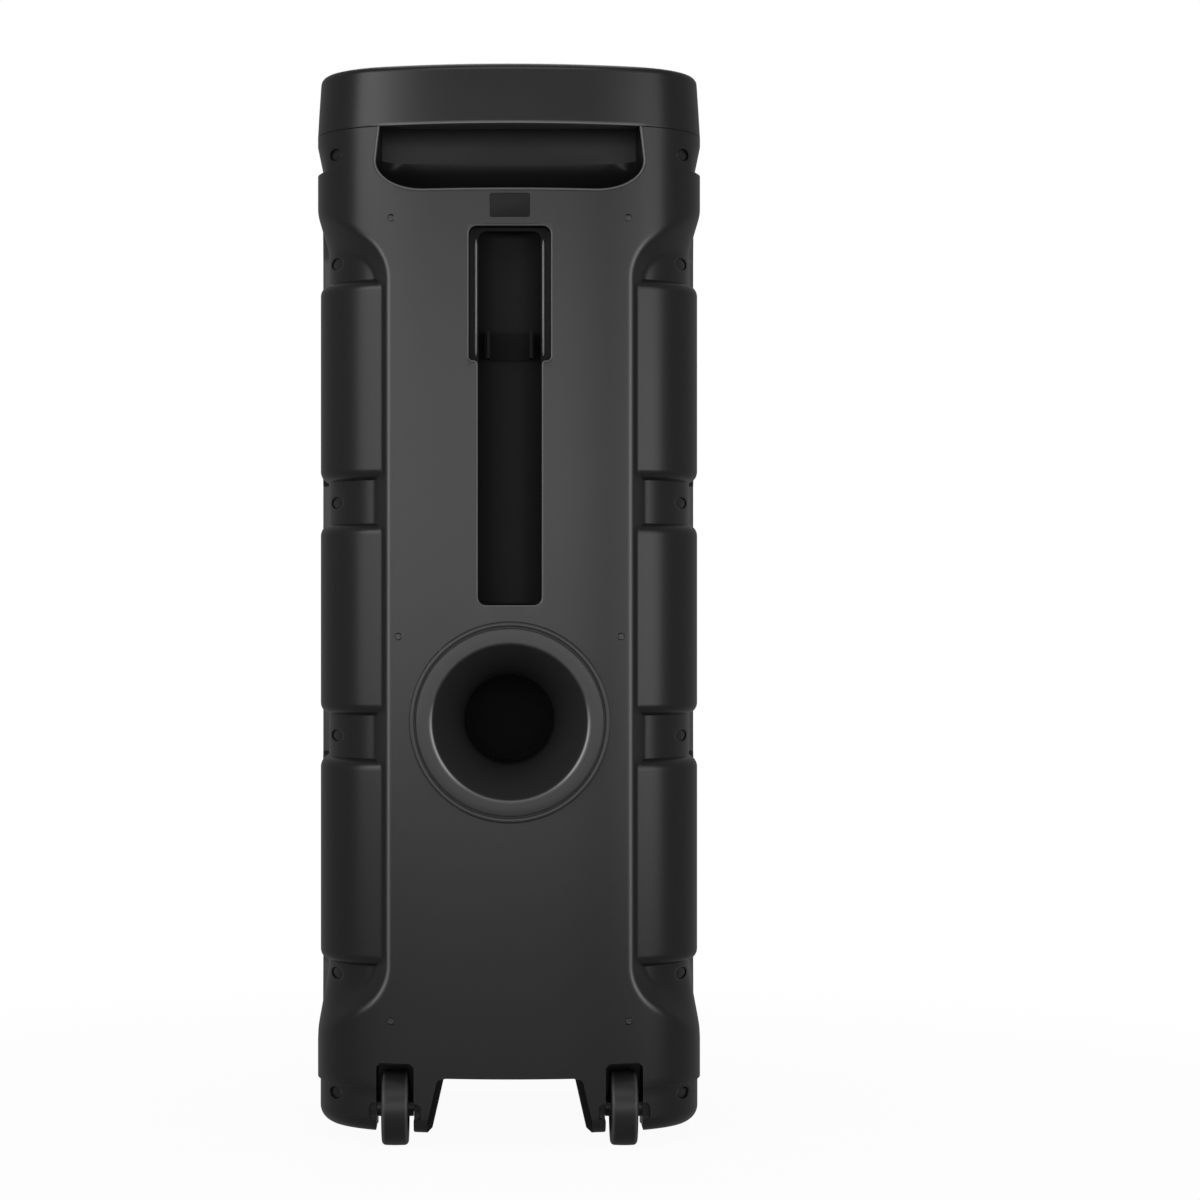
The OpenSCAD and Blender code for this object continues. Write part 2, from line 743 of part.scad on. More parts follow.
module woofer_coil(i) {
    color([0.7, 0.4, 0.2])
        at_driver(i) translate([0, 0, cone_neck_z - 2.4]) difference() {
            cylinder(h = basket_d + 10 - cone_neck_z, r = coil_r);
            translate([0, 0, -past]) cylinder(h = basket_d + 10 - cone_neck_z + 2 * past, r = coil_r - 0.5);
        }
}

// Rubber half roll, glued to the frame's front at its outer edge
module woofer_surround(i) {
    z = seat_z;
    inner = cone_r + gap;
    roll = 4.4;
    x = inner + roll;
    color([0.08, 0.08, 0.08])
        at_driver(i) rotate_extrude()
            polygon(concat([for (a = [0:15:180]) [x - roll * cos(a), z - 1 - roll * sin(a)]],
                           [[woofer_r - 7.5, z - 1], [woofer_r - 7.5, z], [x + roll - 0.8, z]],
                           [for (a = [180:-15:0]) [x - (roll - 0.8) * cos(a), z - 0.6 - (roll - 0.8) * sin(a)]],
                           [[inner, z - 0.4]]));
}

module woofer_spider(i) {
    outer = magnet_r - 7;
    inner = coil_r + gap + 0.4;
    waves = 4;
    color([0.75, 0.6, 0.3])
        at_driver(i) rotate_extrude()
            polygon(concat(
                [[outer, basket_d], [outer - 5, basket_d]],
                [for (k = [0:16]) [outer - 5 - (outer - 5 - inner) * k / 16,
                                   basket_d - 4 + 1.4 * sin(360 * waves * k / 16)]],
                [for (k = [16:-1:0]) [outer - 5 - (outer - 5 - inner) * k / 16,
                                      basket_d - 5 + 1.4 * sin(360 * waves * k / 16)]],
                [[outer - 4, basket_d - 1], [outer, basket_d - 1]]));
}

module driver_gaskets() {
    color([0.2, 0.2, 0.2]) {
        for (i = [0, 1])
            at_driver(i) translate([0, 0, -gasket_t]) difference() {
                cylinder(h = gasket_t, r = woofer_r);
                translate([0, 0, -past]) cylinder(h = gasket_t + 2 * past, r = woofer_hole_r);
                screw_circle(woofer_r - 4.5, woofer_screws)
                    translate([0, 0, -past]) cylinder(h = gasket_t + 2 * past, r = screw_r + 0.1);
            }
        at_driver(2) translate([0, 0, -gasket_t]) difference() {
            cylinder(h = gasket_t, r = horn_r);
            translate([0, 0, -past]) cylinder(h = gasket_t + 2 * past, r = horn_hole_r);
            screw_circle(horn_r - 4, horn_screws)
                translate([0, 0, -past]) cylinder(h = gasket_t + 2 * past, r = screw_r + 0.1);
        }
    }
}

horn_d = 30;
horn_throat = 12.5;

function horn_at(t) = horn_throat + (horn_r - 9 - horn_throat) * t * t;

// Round waveguide whose wall opens with the square of the distance from its throat
module tweeter_horn() {
    steps = 12;
    length = horn_d - seat_z;
    color([0.1, 0.1, 0.1])
        at_driver(2) difference() {
            rotate_extrude()
                polygon(concat(
                    [for (k = [0:steps]) [horn_at(k / steps), horn_d - length * k / steps]],
                    [[horn_r, seat_z], [horn_r, -gasket_t], [horn_at(1) - 1, -gasket_t]],
                    [for (k = [steps - 2:-1:1]) [horn_at(k / steps) + 2.5, horn_d - length * k / steps + 1]],
                    [[horn_throat + 2.5, horn_d - 3], [30, horn_d - 3], [30, horn_d]]));
            screw_circle(horn_r - 4, horn_screws)
                translate([0, 0, seat_z - past]) cylinder(h = flange_t + 2 * past, r = screw_r + 0.1);
        }
}

module tweeter_diaphragm() {
    color([0.8, 0.8, 0.82])
        at_driver(2) translate([0, 0, horn_d]) rotate_extrude()
            polygon(concat([[22, 0], [22, 1.5], [12, 1.5]],
                           [for (a = [0:15:90]) [11 * cos(a), 1.5 + 5 * sin(a)]],
                           [for (a = [90:-15:0]) [10.5 * cos(a), 1 + 5 * sin(a)]], [[11, 0]]));
}

module tweeter_magnet() {
    color([0.3, 0.3, 0.32])
        at_driver(2) translate([0, 0, horn_d + 1.5]) difference() {
            cylinder(h = 24, r = 34);
            translate([0, 0, -past]) cylinder(h = 8, r = 13);
        }
}

module pan_screw(length, head) {
    cylinder(h = length, r = screw_r);
    translate([0, 0, -2]) difference() {
        cylinder(h = 2, r = head);
        translate([-head, -0.4, -past]) cube([2 * head, 0.8, past + 0.8]);
        translate([-0.4, -head, -past]) cube([0.8, 2 * head, past + 0.8]);
    }
}

module driver_screws() {
    color([0.25, 0.25, 0.26]) {
        for (i = [0, 1])
            at_driver(i) screw_circle(woofer_r - 4.5, woofer_screws)
                translate([0, 0, seat_z]) pan_screw(14, 2.8);
        at_driver(2) screw_circle(horn_r - 4, horn_screws)
            translate([0, 0, seat_z]) pan_screw(14, 3);
    }
}

module baffle_screws() {
    color([0.25, 0.25, 0.26])
        both_sides() for (z = baffle_screws_z)
            translate([baffle_screw_x, baffle_y, z]) along_y() pan_screw(baffle_t + wall - 0.5, 3.4);
}

// ---- Top cap, hand-hold and control panel --------------------------------------------

deck_z = cab_h - 10;
deck_t = 4;
rim_w = 12;
panel_y = front_y + 88;
panel_r = 18;
panel_foot = 7;

module top_cap() {
    color([0.12, 0.12, 0.125])
        difference() {
            hull() {
                full_slab(cap_z, 0.5);
                full_slab(cab_h - 5.5, 0.5, cap_lean);
                full_slab(cab_h - 1.9, 0.4, cap_lean + 1.6);
                full_slab(cab_h - 0.4, 0.4, cap_lean + 5);
            }
            full_slab(deck_z, cap_h, rim_w);
            difference() {
                full_slab(cap_z - past, cap_h - 10 - deck_t + past, wall + cap_lean);
                block([-hand_x - 12, grip_y, cap_z - 2 * past], [hand_x + 12, rear_y, cab_h]);
            }
            translate([0, panel_y, deck_z - deck_t - past]) linear_extrude(deck_t + 2 * past)
                rounded_rect(panel_w - 2 * panel_foot + 2 * snug, panel_d - 2 * panel_foot + 2 * snug,
                             panel_r - panel_foot);
        }
}

// Liner of the hand-hold, which goes up behind the grip
module handle_cup() {
    up = cap_h - 17;
    color([0.1, 0.1, 0.105])
        difference() {
            union() {
                intersection() {
                    rear_slab(hand_z - cup_wall, hand_h + cup_wall);
                    upright(cup_y - cup_wall, rear_y + past) hand_outline(cup_wall);
                }
                block([-hand_top_x - cup_wall, cup_y - cup_wall, cap_z - past],
                      [hand_top_x + cup_wall, grip_y, cap_z + up]);
            }
            upright(cup_y, rear_y + past) hand_outline(0, past);
            block([-hand_top_x, cup_y, cap_z - past],
                  [hand_top_x, grip_y - cup_wall, cap_z + up - cup_wall]);
        }
}

board_z = deck_z - 15;
board_t = 1.6;
body_h = 6;
plate_t = 2;
button_y = 6;
button_x = [-95, -72, -49, 49, 72, 95];
small_y = -38;
small_knob_x = [-92, -60];
socket_x = [60, 92];
socket_r = 8;
jack_r = 3.25;
small_knob_r = 10;
shaft_r = 3;
bush_r = 4.6;
shaft_fit = 0.05;
display_w = 76;
display_h = 18;
display_y = 48;
post_x = panel_w / 2 - 14;
post_y = panel_d / 2 - 14;
post_r = 4;
display_r = 4;
display_t = 1.5;
drill_l = 30;           // length of a cutter that runs right through the panel

module on_panel(x, y, z = 0) translate([x, panel_y + y, z]) children();

module control_panel() {
    color([0.05, 0.05, 0.055])
        difference() {
            union() {
                on_panel(0, 0, deck_z) linear_extrude(plate_t) rounded_rect(panel_w, panel_d, panel_r);
                on_panel(0, 0, deck_z - body_h) linear_extrude(body_h)
                    rounded_rect(panel_w - 2 * panel_foot, panel_d - 2 * panel_foot, panel_r - panel_foot);
                for (x = [-post_x, post_x], y = [-post_y, post_y])
                    on_panel(x, y, board_z + board_t)
                        cylinder(h = deck_z - board_z - board_t, r = post_r);
            }
            for (x = button_x)
                on_panel(x, button_y, board_z) cylinder(h = drill_l, r = button_r + gap);
            on_panel(0, button_y, board_z) cylinder(h = drill_l, r = bush_r + gap);
            for (x = small_knob_x) on_panel(x, small_y, board_z) cylinder(h = drill_l, r = bush_r + gap);
            for (x = socket_x) on_panel(x, small_y, board_z) cylinder(h = drill_l, r = socket_r + snug);
            on_panel(0, display_y, deck_z + plate_t - display_t) linear_extrude(2 * display_t)
                rounded_rect(display_w + 2 * snug, display_h + 2 * snug, display_r);
        }
}

module display_window() {
    color([0.02, 0.02, 0.03])
        on_panel(0, display_y, deck_z + plate_t - display_t) linear_extrude(display_t)
            rounded_rect(display_w, display_h, display_r - snug);
}

switch_h = 3.6;
switch_w = 6;
encoder_w = 14;
encoder_h = 5;
bush_h = 12;
board_in = 10;          // how far the circuit board lies in from the panel's edge

// Circuit board with a switch under each button and a bushed encoder under each knob
module control_board() {
    color([0.1, 0.3, 0.15]) {
        difference() {
            union() {
                on_panel(0, 0, board_z) linear_extrude(board_t)
                    rounded_rect(panel_w - 2 * board_in, panel_d - 2 * board_in, 6);
                for (x = button_x)
                    on_panel(x, button_y, board_z + board_t)
                        translate([-switch_w / 2, -switch_w / 2, 0]) cube([switch_w, switch_w, switch_h]);
                for (place = [[0, button_y], [small_knob_x[0], small_y], [small_knob_x[1], small_y]])
                    on_panel(place[0], place[1], board_z + board_t) {
                        translate([-encoder_w / 2, -encoder_w / 2, 0]) cube([encoder_w, encoder_w, encoder_h]);
                        cylinder(h = bush_h, r = bush_r);
                    }
            }
            for (place = [[0, button_y], [small_knob_x[0], small_y], [small_knob_x[1], small_y]])
                on_panel(place[0], place[1], board_z + board_t + 1) cylinder(h = 20, r = shaft_r + shaft_fit);
        }
    }
}

module knob(x, y, r, colour) {
    top = cab_h - 0.6;
    low = deck_z + plate_t + 0.5;
    color(colour)
        on_panel(x, y) difference() {
            union() {
                translate([0, 0, low]) rotate_extrude()
                    polygon([[0, 0], [r, 0], [r, top - low - 1.6], [r - 1.6, top - low], [0, top - low]]);
                translate([0, 0, board_z + board_t + 1.5]) cylinder(h = low - board_z - board_t, r = shaft_r);
            }
            for (k = [0:23]) rotate(15 * k)
                translate([r + 0.35, 0, low - past]) cylinder(h = top, r = 0.9, $fn = 16);
            translate([r * 0.6, 0, top - 0.6]) cylinder(h = past, r = r * 0.1);
        }
}

module volume_knob() knob(0, button_y, knob_r, [0.08, 0.08, 0.085]);
module echo_knob() knob(small_knob_x[0], small_y, small_knob_r, [0.08, 0.08, 0.085]);
module mic_knob() knob(small_knob_x[1], small_y, small_knob_r, [0.08, 0.08, 0.085]);

module push_button(k) {
    flange_z = deck_z - body_h - gap - 1.5;
    color([0.2, 0.2, 0.21])
        on_panel(button_x[k], button_y) {
            translate([0, 0, flange_z]) cylinder(h = 1.5, r = button_r + 1.5);
            translate([0, 0, flange_z]) cylinder(h = deck_z + plate_t + 2.5 - flange_z, r = button_r);
        }
}

module button_power() push_button(0);
module button_source() push_button(1);
module button_light() push_button(2);
module button_bass() push_button(3);
module button_play() push_button(4);
module button_pair() push_button(5);

module input_sockets() {
    color([0.15, 0.15, 0.16])
        for (x = socket_x)
            on_panel(x, small_y, board_z + board_t) difference() {
                cylinder(h = deck_z + plate_t + 0.8 - board_z - board_t, r = socket_r);
                translate([0, 0, 3]) cylinder(h = 30, r = jack_r);
            }
}

// ---- Microphone dock and bass port ---------------------------------------------------

module trough(grow, out)
    intersection() {
        union() {
            translate([0, rear_y - trough_d, trough_z - grow]) cylinder(h = trough_h + 2 * grow, r = trough_w / 2 + grow);
            block([-trough_w / 2 - grow, rear_y - trough_d, trough_z - grow],
                  [trough_w / 2 + grow, rear_y + out, trough_z + trough_h + grow]);
        }
        upright(rear_y - trough_d - trough_w, rear_y + out) trough_outline(grow);
    }

module mic_dock() {
    color([0.09, 0.09, 0.095])
        difference() {
            intersection() {
                union() {
                    trough(dock_wall, past);
                    upright(rear_y - head_d - dock_wall, rear_y + past) head_outline(dock_wall);
                }
                rear_slab(trough_z - 20, trough_h + 60);
            }
            trough(0, 2 * past);
            upright(rear_y - head_d, rear_y + 2 * past) head_outline();
        }
}

clip_x = 16.6;
clip_t = 2;

// Spring clip in the trough that grips a handle's neck between two fingers
module mic_clip() {
    r = trough_w / 2 - snug;
    color([0.05, 0.05, 0.05])
        translate([0, rear_y - trough_d, head_z + 2]) linear_extrude(20) {
            difference() {
                circle(r);
                circle(r - clip_t);
                translate([-trough_w, -sqrt(r * r - clip_x * clip_x) + clip_t]) square([2 * trough_w, 2 * trough_w]);
            }
            for (side = [-1, 1])
                translate([side * (clip_x - clip_t / 2) - clip_t / 2, -sqrt(r * r - clip_x * clip_x)])
                    square([clip_t, 20]);
        }
}

ring_step = 4;

// Builds along +Z from the flange's rear face into the cabinet
module at_port() translate([0, cab_d / 2, port_z]) rotate([90, 0, 0]) children();

function port_curve(grow) =
    [for (t = [0:0.1:1]) [throat_r + grow + (mouth_r - throat_r) * pow(1 - t, flare_power), flare_l * t]];

// Reflex port: a horn that runs into a straight tube, with a small inner flare
module port_tube() {
    color([0.11, 0.11, 0.115])
        at_port() rotate_extrude()
            polygon(concat(
                port_curve(0), [[throat_r, port_l - 12], [throat_r + 8, port_l], [throat_r + 11, port_l],
                                [throat_r + port_wall, port_l - 12]],
                [for (p = [for (i = [10:-1:2]) port_curve(port_wall)[i]]) p],
                [[mouth_r + port_wall, ring_step], [flange_r - 4.7, ring_step], [flange_r - 4.7, 1], [flange_r - 5.7, 0]]));
}

module port_ring() {
    color([0.12, 0.12, 0.125])
        at_port() rotate_extrude()
            polygon([[mouth_r + port_wall + gap, ring_step], [flange_r - 4.5, ring_step], [flange_r - 4.5, 0.6],
                     [flange_r - 4, 0], [flange_r - 1, 0], [flange_r, 1], [flange_r, port_proud + port_seat],
                     [mouth_r + port_wall + gap, port_proud + port_seat]]);
}

// ---- Wheels, feet and screws ---------------------------------------------------------

hub_r = wheel_r - 7.5;

module at_wheel(side) translate([side * wheel_x, axle_y, wheel_r]) rotate([0, 90, 0]) children();

module wheel_hub(side) {
    bore = axle_r + wheel_fit;
    boss = pocket_w / 2 - gap;
    color([0.14, 0.14, 0.145])
        at_wheel(side) difference() {
            rotate_extrude()
                polygon([[bore, -boss], [bore + 3.5, -boss], [bore + 4, -3], [hub_r - 3, -3], [hub_r - 3, -tyre_w / 2 + 1],
                         [hub_r, -tyre_w / 2 + 1], [hub_r, tyre_w / 2 - 1], [hub_r - 3, tyre_w / 2 - 1],
                         [hub_r - 3, 3], [bore + 4, 3], [bore + 3.5, boss], [bore, boss]]);
            for (k = [0:4]) rotate(72 * k) translate([(hub_r + bore) / 2 + 0.6, 0, -4]) cylinder(h = 8, r = 3);
        }
}

module wheel_tyre(side) {
    color([0.07, 0.07, 0.07])
        at_wheel(side) rotate_extrude()
            polygon([[hub_r, -tyre_w / 2 + 0.5], [wheel_r - 3.4, -tyre_w / 2], [wheel_r - 1.2, -tyre_w / 2 + 0.8],
                     [wheel_r, -tyre_w / 2 + 3], [wheel_r, tyre_w / 2 - 3], [wheel_r - 1.2, tyre_w / 2 - 0.8],
                     [wheel_r - 3.4, tyre_w / 2], [hub_r, tyre_w / 2 - 0.5]]);
}

module wheel_left_hub() wheel_hub(-1);
module wheel_left_tyre() wheel_tyre(-1);
module wheel_right_hub() wheel_hub(1);
module wheel_right_tyre() wheel_tyre(1);

module wheel_axles() {
    half_l = pocket_w / 2 + pocket_skin;
    color([0.7, 0.7, 0.72])
        for (side = [-1, 1]) at_wheel(side) translate([0, 0, -half_l]) cylinder(h = 2 * half_l, r = axle_r);
}

module front_feet() {
    color([0.06, 0.06, 0.06])
        both_sides() translate([foot_x0, foot_y0, 0]) {
            rotate_extrude()
                polygon([[0, 0], [foot_r - 2, 0], [foot_r, 2], [foot_r, ground_gap], [0, ground_gap]]);
            cylinder(h = ground_gap + 10, r = 4 - snug);
        }
}

module rear_screws() {
    color([0.25, 0.25, 0.26])
        both_sides() for (s = rear_screws_at)
            translate([s[0], face_y(s[0]) - screw_seat, s[1]]) rotate([90, 0, 0])
                pan_screw(boss_l - 8, rear_screw_r);
}

module side_screws() {
    color([0.25, 0.25, 0.26])
        both_sides() for (z = side_screws_z)
            translate([side_screw_x, side_screw_y, z]) rotate([90, 0, 0]) pan_screw(26, 3.6);
}

// ---- Electronics ---------------------------------------------------------------------

module electronics_tray() {
    color([0.6, 0.6, 0.62])
        difference() {
            upright(tray_y, tray_y + tray_t)
                translate([0, (tray_z[0] + tray_z[1]) / 2])
                    rounded_rect(2 * (tray_x + tray_rim), tray_z[1] - tray_z[0] + 2 * tray_rim, 6);
            both_sides() for (z = tray_z)
                translate([tray_x, tray_y - past, z]) along_y() cylinder(h = 4, r = 1.7);
        }
}

pcb_y = tray_y - 8;
amp_x = [-76, 12];
power_x = [18, 76];
pcb_z = [tray_z[0] - 2, tray_z[1] + 2];

pillar_in = 12;
pillar_r = 2.5;

// Circuit board on four pillars that stand on the tray
module board(x) {
    block([x[0], pcb_y - board_t, pcb_z[0]], [x[1], pcb_y, pcb_z[1]]);
    for (px = [x[0] + pillar_in, x[1] - pillar_in], pz = [pcb_z[0] + pillar_in, pcb_z[1] - pillar_in])
        translate([px, pcb_y, pz]) along_y() cylinder(h = tray_y - pcb_y, r = pillar_r);
}

module amplifier_board() {
    color([0.1, 0.3, 0.15]) {
        board(amp_x);
        for (k = [0:2])
            translate([amp_x[0] + 12 + 16 * k, pcb_y - board_t, pcb_z[1] - 14]) rotate([90, 0, 0])
                cylinder(h = 22, r = 6.5);
        for (k = [0, 1])
            block([amp_x[1] - 30 + 16 * k, pcb_y - board_t - 10, pcb_z[1] - 22],
                  [amp_x[1] - 18 + 16 * k, pcb_y - board_t, pcb_z[1] - 8]);
    }
}

module heatsink() {
    fins = 9;
    w = 66;
    x = (amp_x[0] + amp_x[1]) / 2 - w / 2;
    color([0.7, 0.7, 0.72]) {
        block([x, pcb_y - board_t - 4, pcb_z[0] + 6], [x + w, pcb_y - board_t, pcb_z[0] + 44]);
        for (k = [0:fins - 1])
            translate([x + k * (w - 2) / (fins - 1), pcb_y - board_t - 26, pcb_z[0] + 6]) cube([2, 22 + root, 38]);
    }
}

module power_board() {
    color([0.35, 0.25, 0.1]) {
        board(power_x);
        block([power_x[0] + 8, pcb_y - board_t - 26, pcb_z[0] + 24], [power_x[0] + 40, pcb_y - board_t, pcb_z[0] + 52]);
        translate([power_x[0] + 22, pcb_y - board_t, pcb_z[1] - 13]) rotate([90, 0, 0]) cylinder(h = 26, r = 9);
    }
}

battery_w = 124;
battery_h = 54;
battery_y = [10, 62];

module battery_pack() {
    color([0.1, 0.2, 0.45])
        translate([0, 0, floor_z + wall]) linear_extrude(battery_h)
            translate([0, (battery_y[0] + battery_y[1]) / 2])
                rounded_rect(battery_w, battery_y[1] - battery_y[0], 6);
}

// Two-pole mains inlet let into the cabinet floor, between the wheel legs
module mains_inlet() {
    depth = 14;
    color([0.06, 0.06, 0.06])
        translate([0, inlet_y, floor_z]) {
            difference() {
                union() {
                    translate([0, 0, -1.5]) linear_extrude(1.5) rounded_rect(inlet_w, inlet_l, 3);
                    linear_extrude(depth + 4) rounded_rect(inlet_w - 4, inlet_l - 4, 2 - snug);
                }
                translate([0, 0, -1.5 - past]) linear_extrude(depth + past) {
                    for (side = [-1, 1]) translate([4.2 * side, 0]) circle(4.3);
                    square([8.4, 8.6], center = true);
                }
            }
            for (side = [-1, 1])
                translate([4.2 * side, 0, 2]) cylinder(h = depth - 2, r = 1.2);
        }
}

module woofer_low_frame() woofer_frame(0);
module woofer_low_magnet() woofer_magnet(0);
module woofer_low_cone() woofer_cone(0);
module woofer_low_coil() woofer_coil(0);
module woofer_low_surround() woofer_surround(0);
module woofer_low_spider() woofer_spider(0);
module woofer_top_frame() woofer_frame(1);
module woofer_top_magnet() woofer_magnet(1);
module woofer_top_cone() woofer_cone(1);
module woofer_top_coil() woofer_coil(1);
module woofer_top_surround() woofer_surround(1);
module woofer_top_spider() woofer_spider(1);

rear_housing();
front_housing();
top_cap();
handle_cup();
mic_dock();
mic_clip();
port_tube();
port_ring();
baffle();
grille_frame();
front_grille();
light_rings();
led_boards();
woofer_low_frame();
woofer_low_magnet();
woofer_low_cone();
woofer_low_coil();
woofer_low_surround();
woofer_low_spider();
woofer_top_frame();
woofer_top_magnet();
woofer_top_cone();
woofer_top_coil();
woofer_top_surround();
woofer_top_spider();
driver_gaskets();
tweeter_horn();
tweeter_diaphragm();
tweeter_magnet();
driver_screws();
baffle_screws();
rear_screws();
side_screws();
wheel_left_hub();
wheel_left_tyre();
wheel_right_hub();
wheel_right_tyre();
wheel_axles();
front_feet();
electronics_tray();
amplifier_board();
heatsink();
power_board();
battery_pack();
mains_inlet();
control_panel();
control_board();
volume_knob();
echo_knob();
mic_knob();
button_power();
button_source();
button_light();
button_bass();
button_play();
button_pair();
display_window();
input_sockets();
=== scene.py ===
"""Party speaker: dressed surfaces, finishes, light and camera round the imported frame."""

import math

import bmesh
import bpy
import numpy as np
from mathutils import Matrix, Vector


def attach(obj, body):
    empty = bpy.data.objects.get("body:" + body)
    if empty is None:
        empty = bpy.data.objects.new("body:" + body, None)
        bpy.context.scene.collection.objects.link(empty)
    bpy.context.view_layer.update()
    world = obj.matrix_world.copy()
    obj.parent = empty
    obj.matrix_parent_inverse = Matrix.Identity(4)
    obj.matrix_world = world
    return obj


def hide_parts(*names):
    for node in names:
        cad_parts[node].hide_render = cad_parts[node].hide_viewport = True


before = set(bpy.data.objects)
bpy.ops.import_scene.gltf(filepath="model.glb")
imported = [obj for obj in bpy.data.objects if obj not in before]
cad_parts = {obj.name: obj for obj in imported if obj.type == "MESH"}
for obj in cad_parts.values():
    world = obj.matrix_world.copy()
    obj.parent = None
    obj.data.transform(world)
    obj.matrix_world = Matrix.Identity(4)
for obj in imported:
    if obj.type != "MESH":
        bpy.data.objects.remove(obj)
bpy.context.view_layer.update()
MM = 0.001

# ---- Sizes in millimetres ----------------------------------------------------------------

# Cabinet: outside, plan outline, ground clearance, floor, wall and the cap's lower edge
HEIGHT, HALF_W, FRONT_Y, REAR_Y, SPLIT_Y = 800.0, 145.0, -150.0, 147.5, -40.0
REAR_R, CORNER_R, FRONT_R = 330.0, 70.0, 24.0
GROUND, FLOOR_Z, WALL, CAP_Z = 11.0, 52.0, 4.0, 755.0
RIM_Y, LOW_ROUND = -4.0, 12.0

# Spine and its flares, the pads beside it, the neck and the plinth
SPINE, SPINE_RUN, FLARE_R, FLARE_SLOPE = 91.0, 19.0, 38.0, math.radians(31)
LOW_FLARE, TOP_FLARE = 136.0, 642.0
PAD_IN, NOTCH_IN = (2.0, 6.0), (8.0, 13.0)      # cut back from the side and from the rear
PADS, PAD_ROUND = ((133.0, 286.5), (319.5, 461.5), (494.5, 643.0)), 8.0
NECK_Z, NECK_IN, PLINTH_Z, PLINTH_IN = 726.0, 4.0, 44.0, 2.0

# Hand-hold, microphone dock and blank recess
HAND_X, HAND_Z, HAND_LEAN, CORNER_W, CORNER_H = 99.0, 708.0, 3.0, 36.0, 22.0
CUP_Y, CUP_WALL, GRIP_Y = 75.5, 3.0, 119.5
SCOOP_X, SCOOP_Y, SCOOP_Z = 24.0, 30.0, 27.0
HEAD_W, HEAD_H, HEAD_Z, HEAD_D = 60.5, 99.0, 581.0, 13.0
TROUGH_W, TROUGH_Z, TROUGH_D, DOCK_R, DOCK_WALL = 47.0, 401.0, 9.0, 6.0, 2.5
BLANK_W, BLANK_H, BLANK_R, BLANK_Z = 30.0, 18.0, 1.5, CAP_Z - 60
LIP_HAND, LIP_DOCK, LIP_WELL = 2.2, 1.4, 1.4
LIP_BACK, INSERT_BACK = 4.4, 4.5                # where a lip ends, and what is set in behind it
LIP_PAST = 8.0                                  # how far a lip's cutter goes past the back

# Bass port
PORT_Z, PORT_BACK, FLANGE_R, MOUTH_R, THROAT_R = 315.0, 150.0, 74.0, 57.5, 34.0
FLARE_L, FLARE_POWER, PORT_L, PORT_WALL = 62.0, 1.35, 150.0, 3.0

# Wheels, their pockets, the arch between the legs, and screws
WHEEL_X, WHEEL_R, AXLE_Y, TYRE_W, POCKET_W = 84.7, 28.0, 118.0, 20.0, 27.7
LEG_ROUND, ARCH_WIDE, ARCH_DEEP = 2.6, 5.5, 36.0
ARCH_SIDE = np.array([[-57.6, 10], [-53.0, 30], [-48.6, 49.5], [-48.0, 51.2], [-46.4, FLOOR_Z]])
REAR_SCREWS = ((88.0, 94.0), (82.5, 378.0), (88.0, 687.0))
WELLS, WELL_X, WELL_R = (37.0, 124.0, 303.0, 478.0, 658.0, 737.0), 129.5, 4.5
SLEEVE_Y, SLEEVE_R = -30.0, 6.3

# Front pocket, cap and controls
POCKET_X, POCKET_Z, POCKET_H, BAFFLE_Y, LEDGE = 129.0, 62.0, 680.0, -128.0, 12.0
CAP_LEAN, CAP_EDGE, CAP_RIM, DECK_DOWN = 2.4, (5.0, 5.5), 12.0, 10.0
PANEL_Y, PANEL_TOP, BOARD_Z = FRONT_Y + 88.0, HEIGHT - 8.0, HEIGHT - 25.0

PAST = 10.0                                     # how far a cutter goes past what it opens


# ---- Mesh helpers ------------------------------------------------------------------------

def grid_quads(rows, columns, close_u=False, close_v=False, start=0):
    """Quads of a rows x columns grid of points: each joins point (i, j) to its neighbours
    (i, j+1), (i+1, j+1) and (i+1, j), wrapping round where the grid is closed."""
    i = np.arange(rows if close_v else rows - 1)[:, None]
    j = np.arange(columns if close_u else columns - 1)[None, :]
    i2, j2 = (i + 1) % rows, (j + 1) % columns
    quads = np.stack([i * columns + j, i * columns + j2, i2 * columns + j2, i2 * columns + j], -1)
    return (quads.reshape(-1, 4) + start).tolist()


def make_mesh(name, points, faces, sharp=40.0):
    """Mesh object at the origin from points in millimetres and a list of face index lists."""
    mesh = bpy.data.meshes.new(name)
    mesh.from_pydata((np.asarray(points, float) * MM).tolist(), [], faces)
    mesh.validate()
    mesh.shade_smooth()
    mesh.set_sharp_from_angle(angle=math.radians(sharp))
    piece = bpy.data.objects.new(name, mesh)
    bpy.context.scene.collection.objects.link(piece)
    return piece


def solid(name, *shells, sharp=40.0):
    """One mesh object out of closed shells, each a pair of points and faces. Doubles are merged
    and every face is turned outwards."""
    points, faces, start = [], [], 0
    for shell_points, shell_faces in shells:
        points.append(np.asarray(shell_points, float))
        faces += [[int(k) + start for k in face] for face in shell_faces]
        start += len(shell_points)
    piece = make_mesh(name, np.concatenate(points), faces, sharp)
    work = bmesh.new()
    work.from_mesh(piece.data)
    bmesh.ops.remove_doubles(work, verts=work.verts, dist=1e-6)
    bmesh.ops.recalc_face_normals(work, faces=work.faces)
    work.to_mesh(piece.data)
    work.free()
    return piece


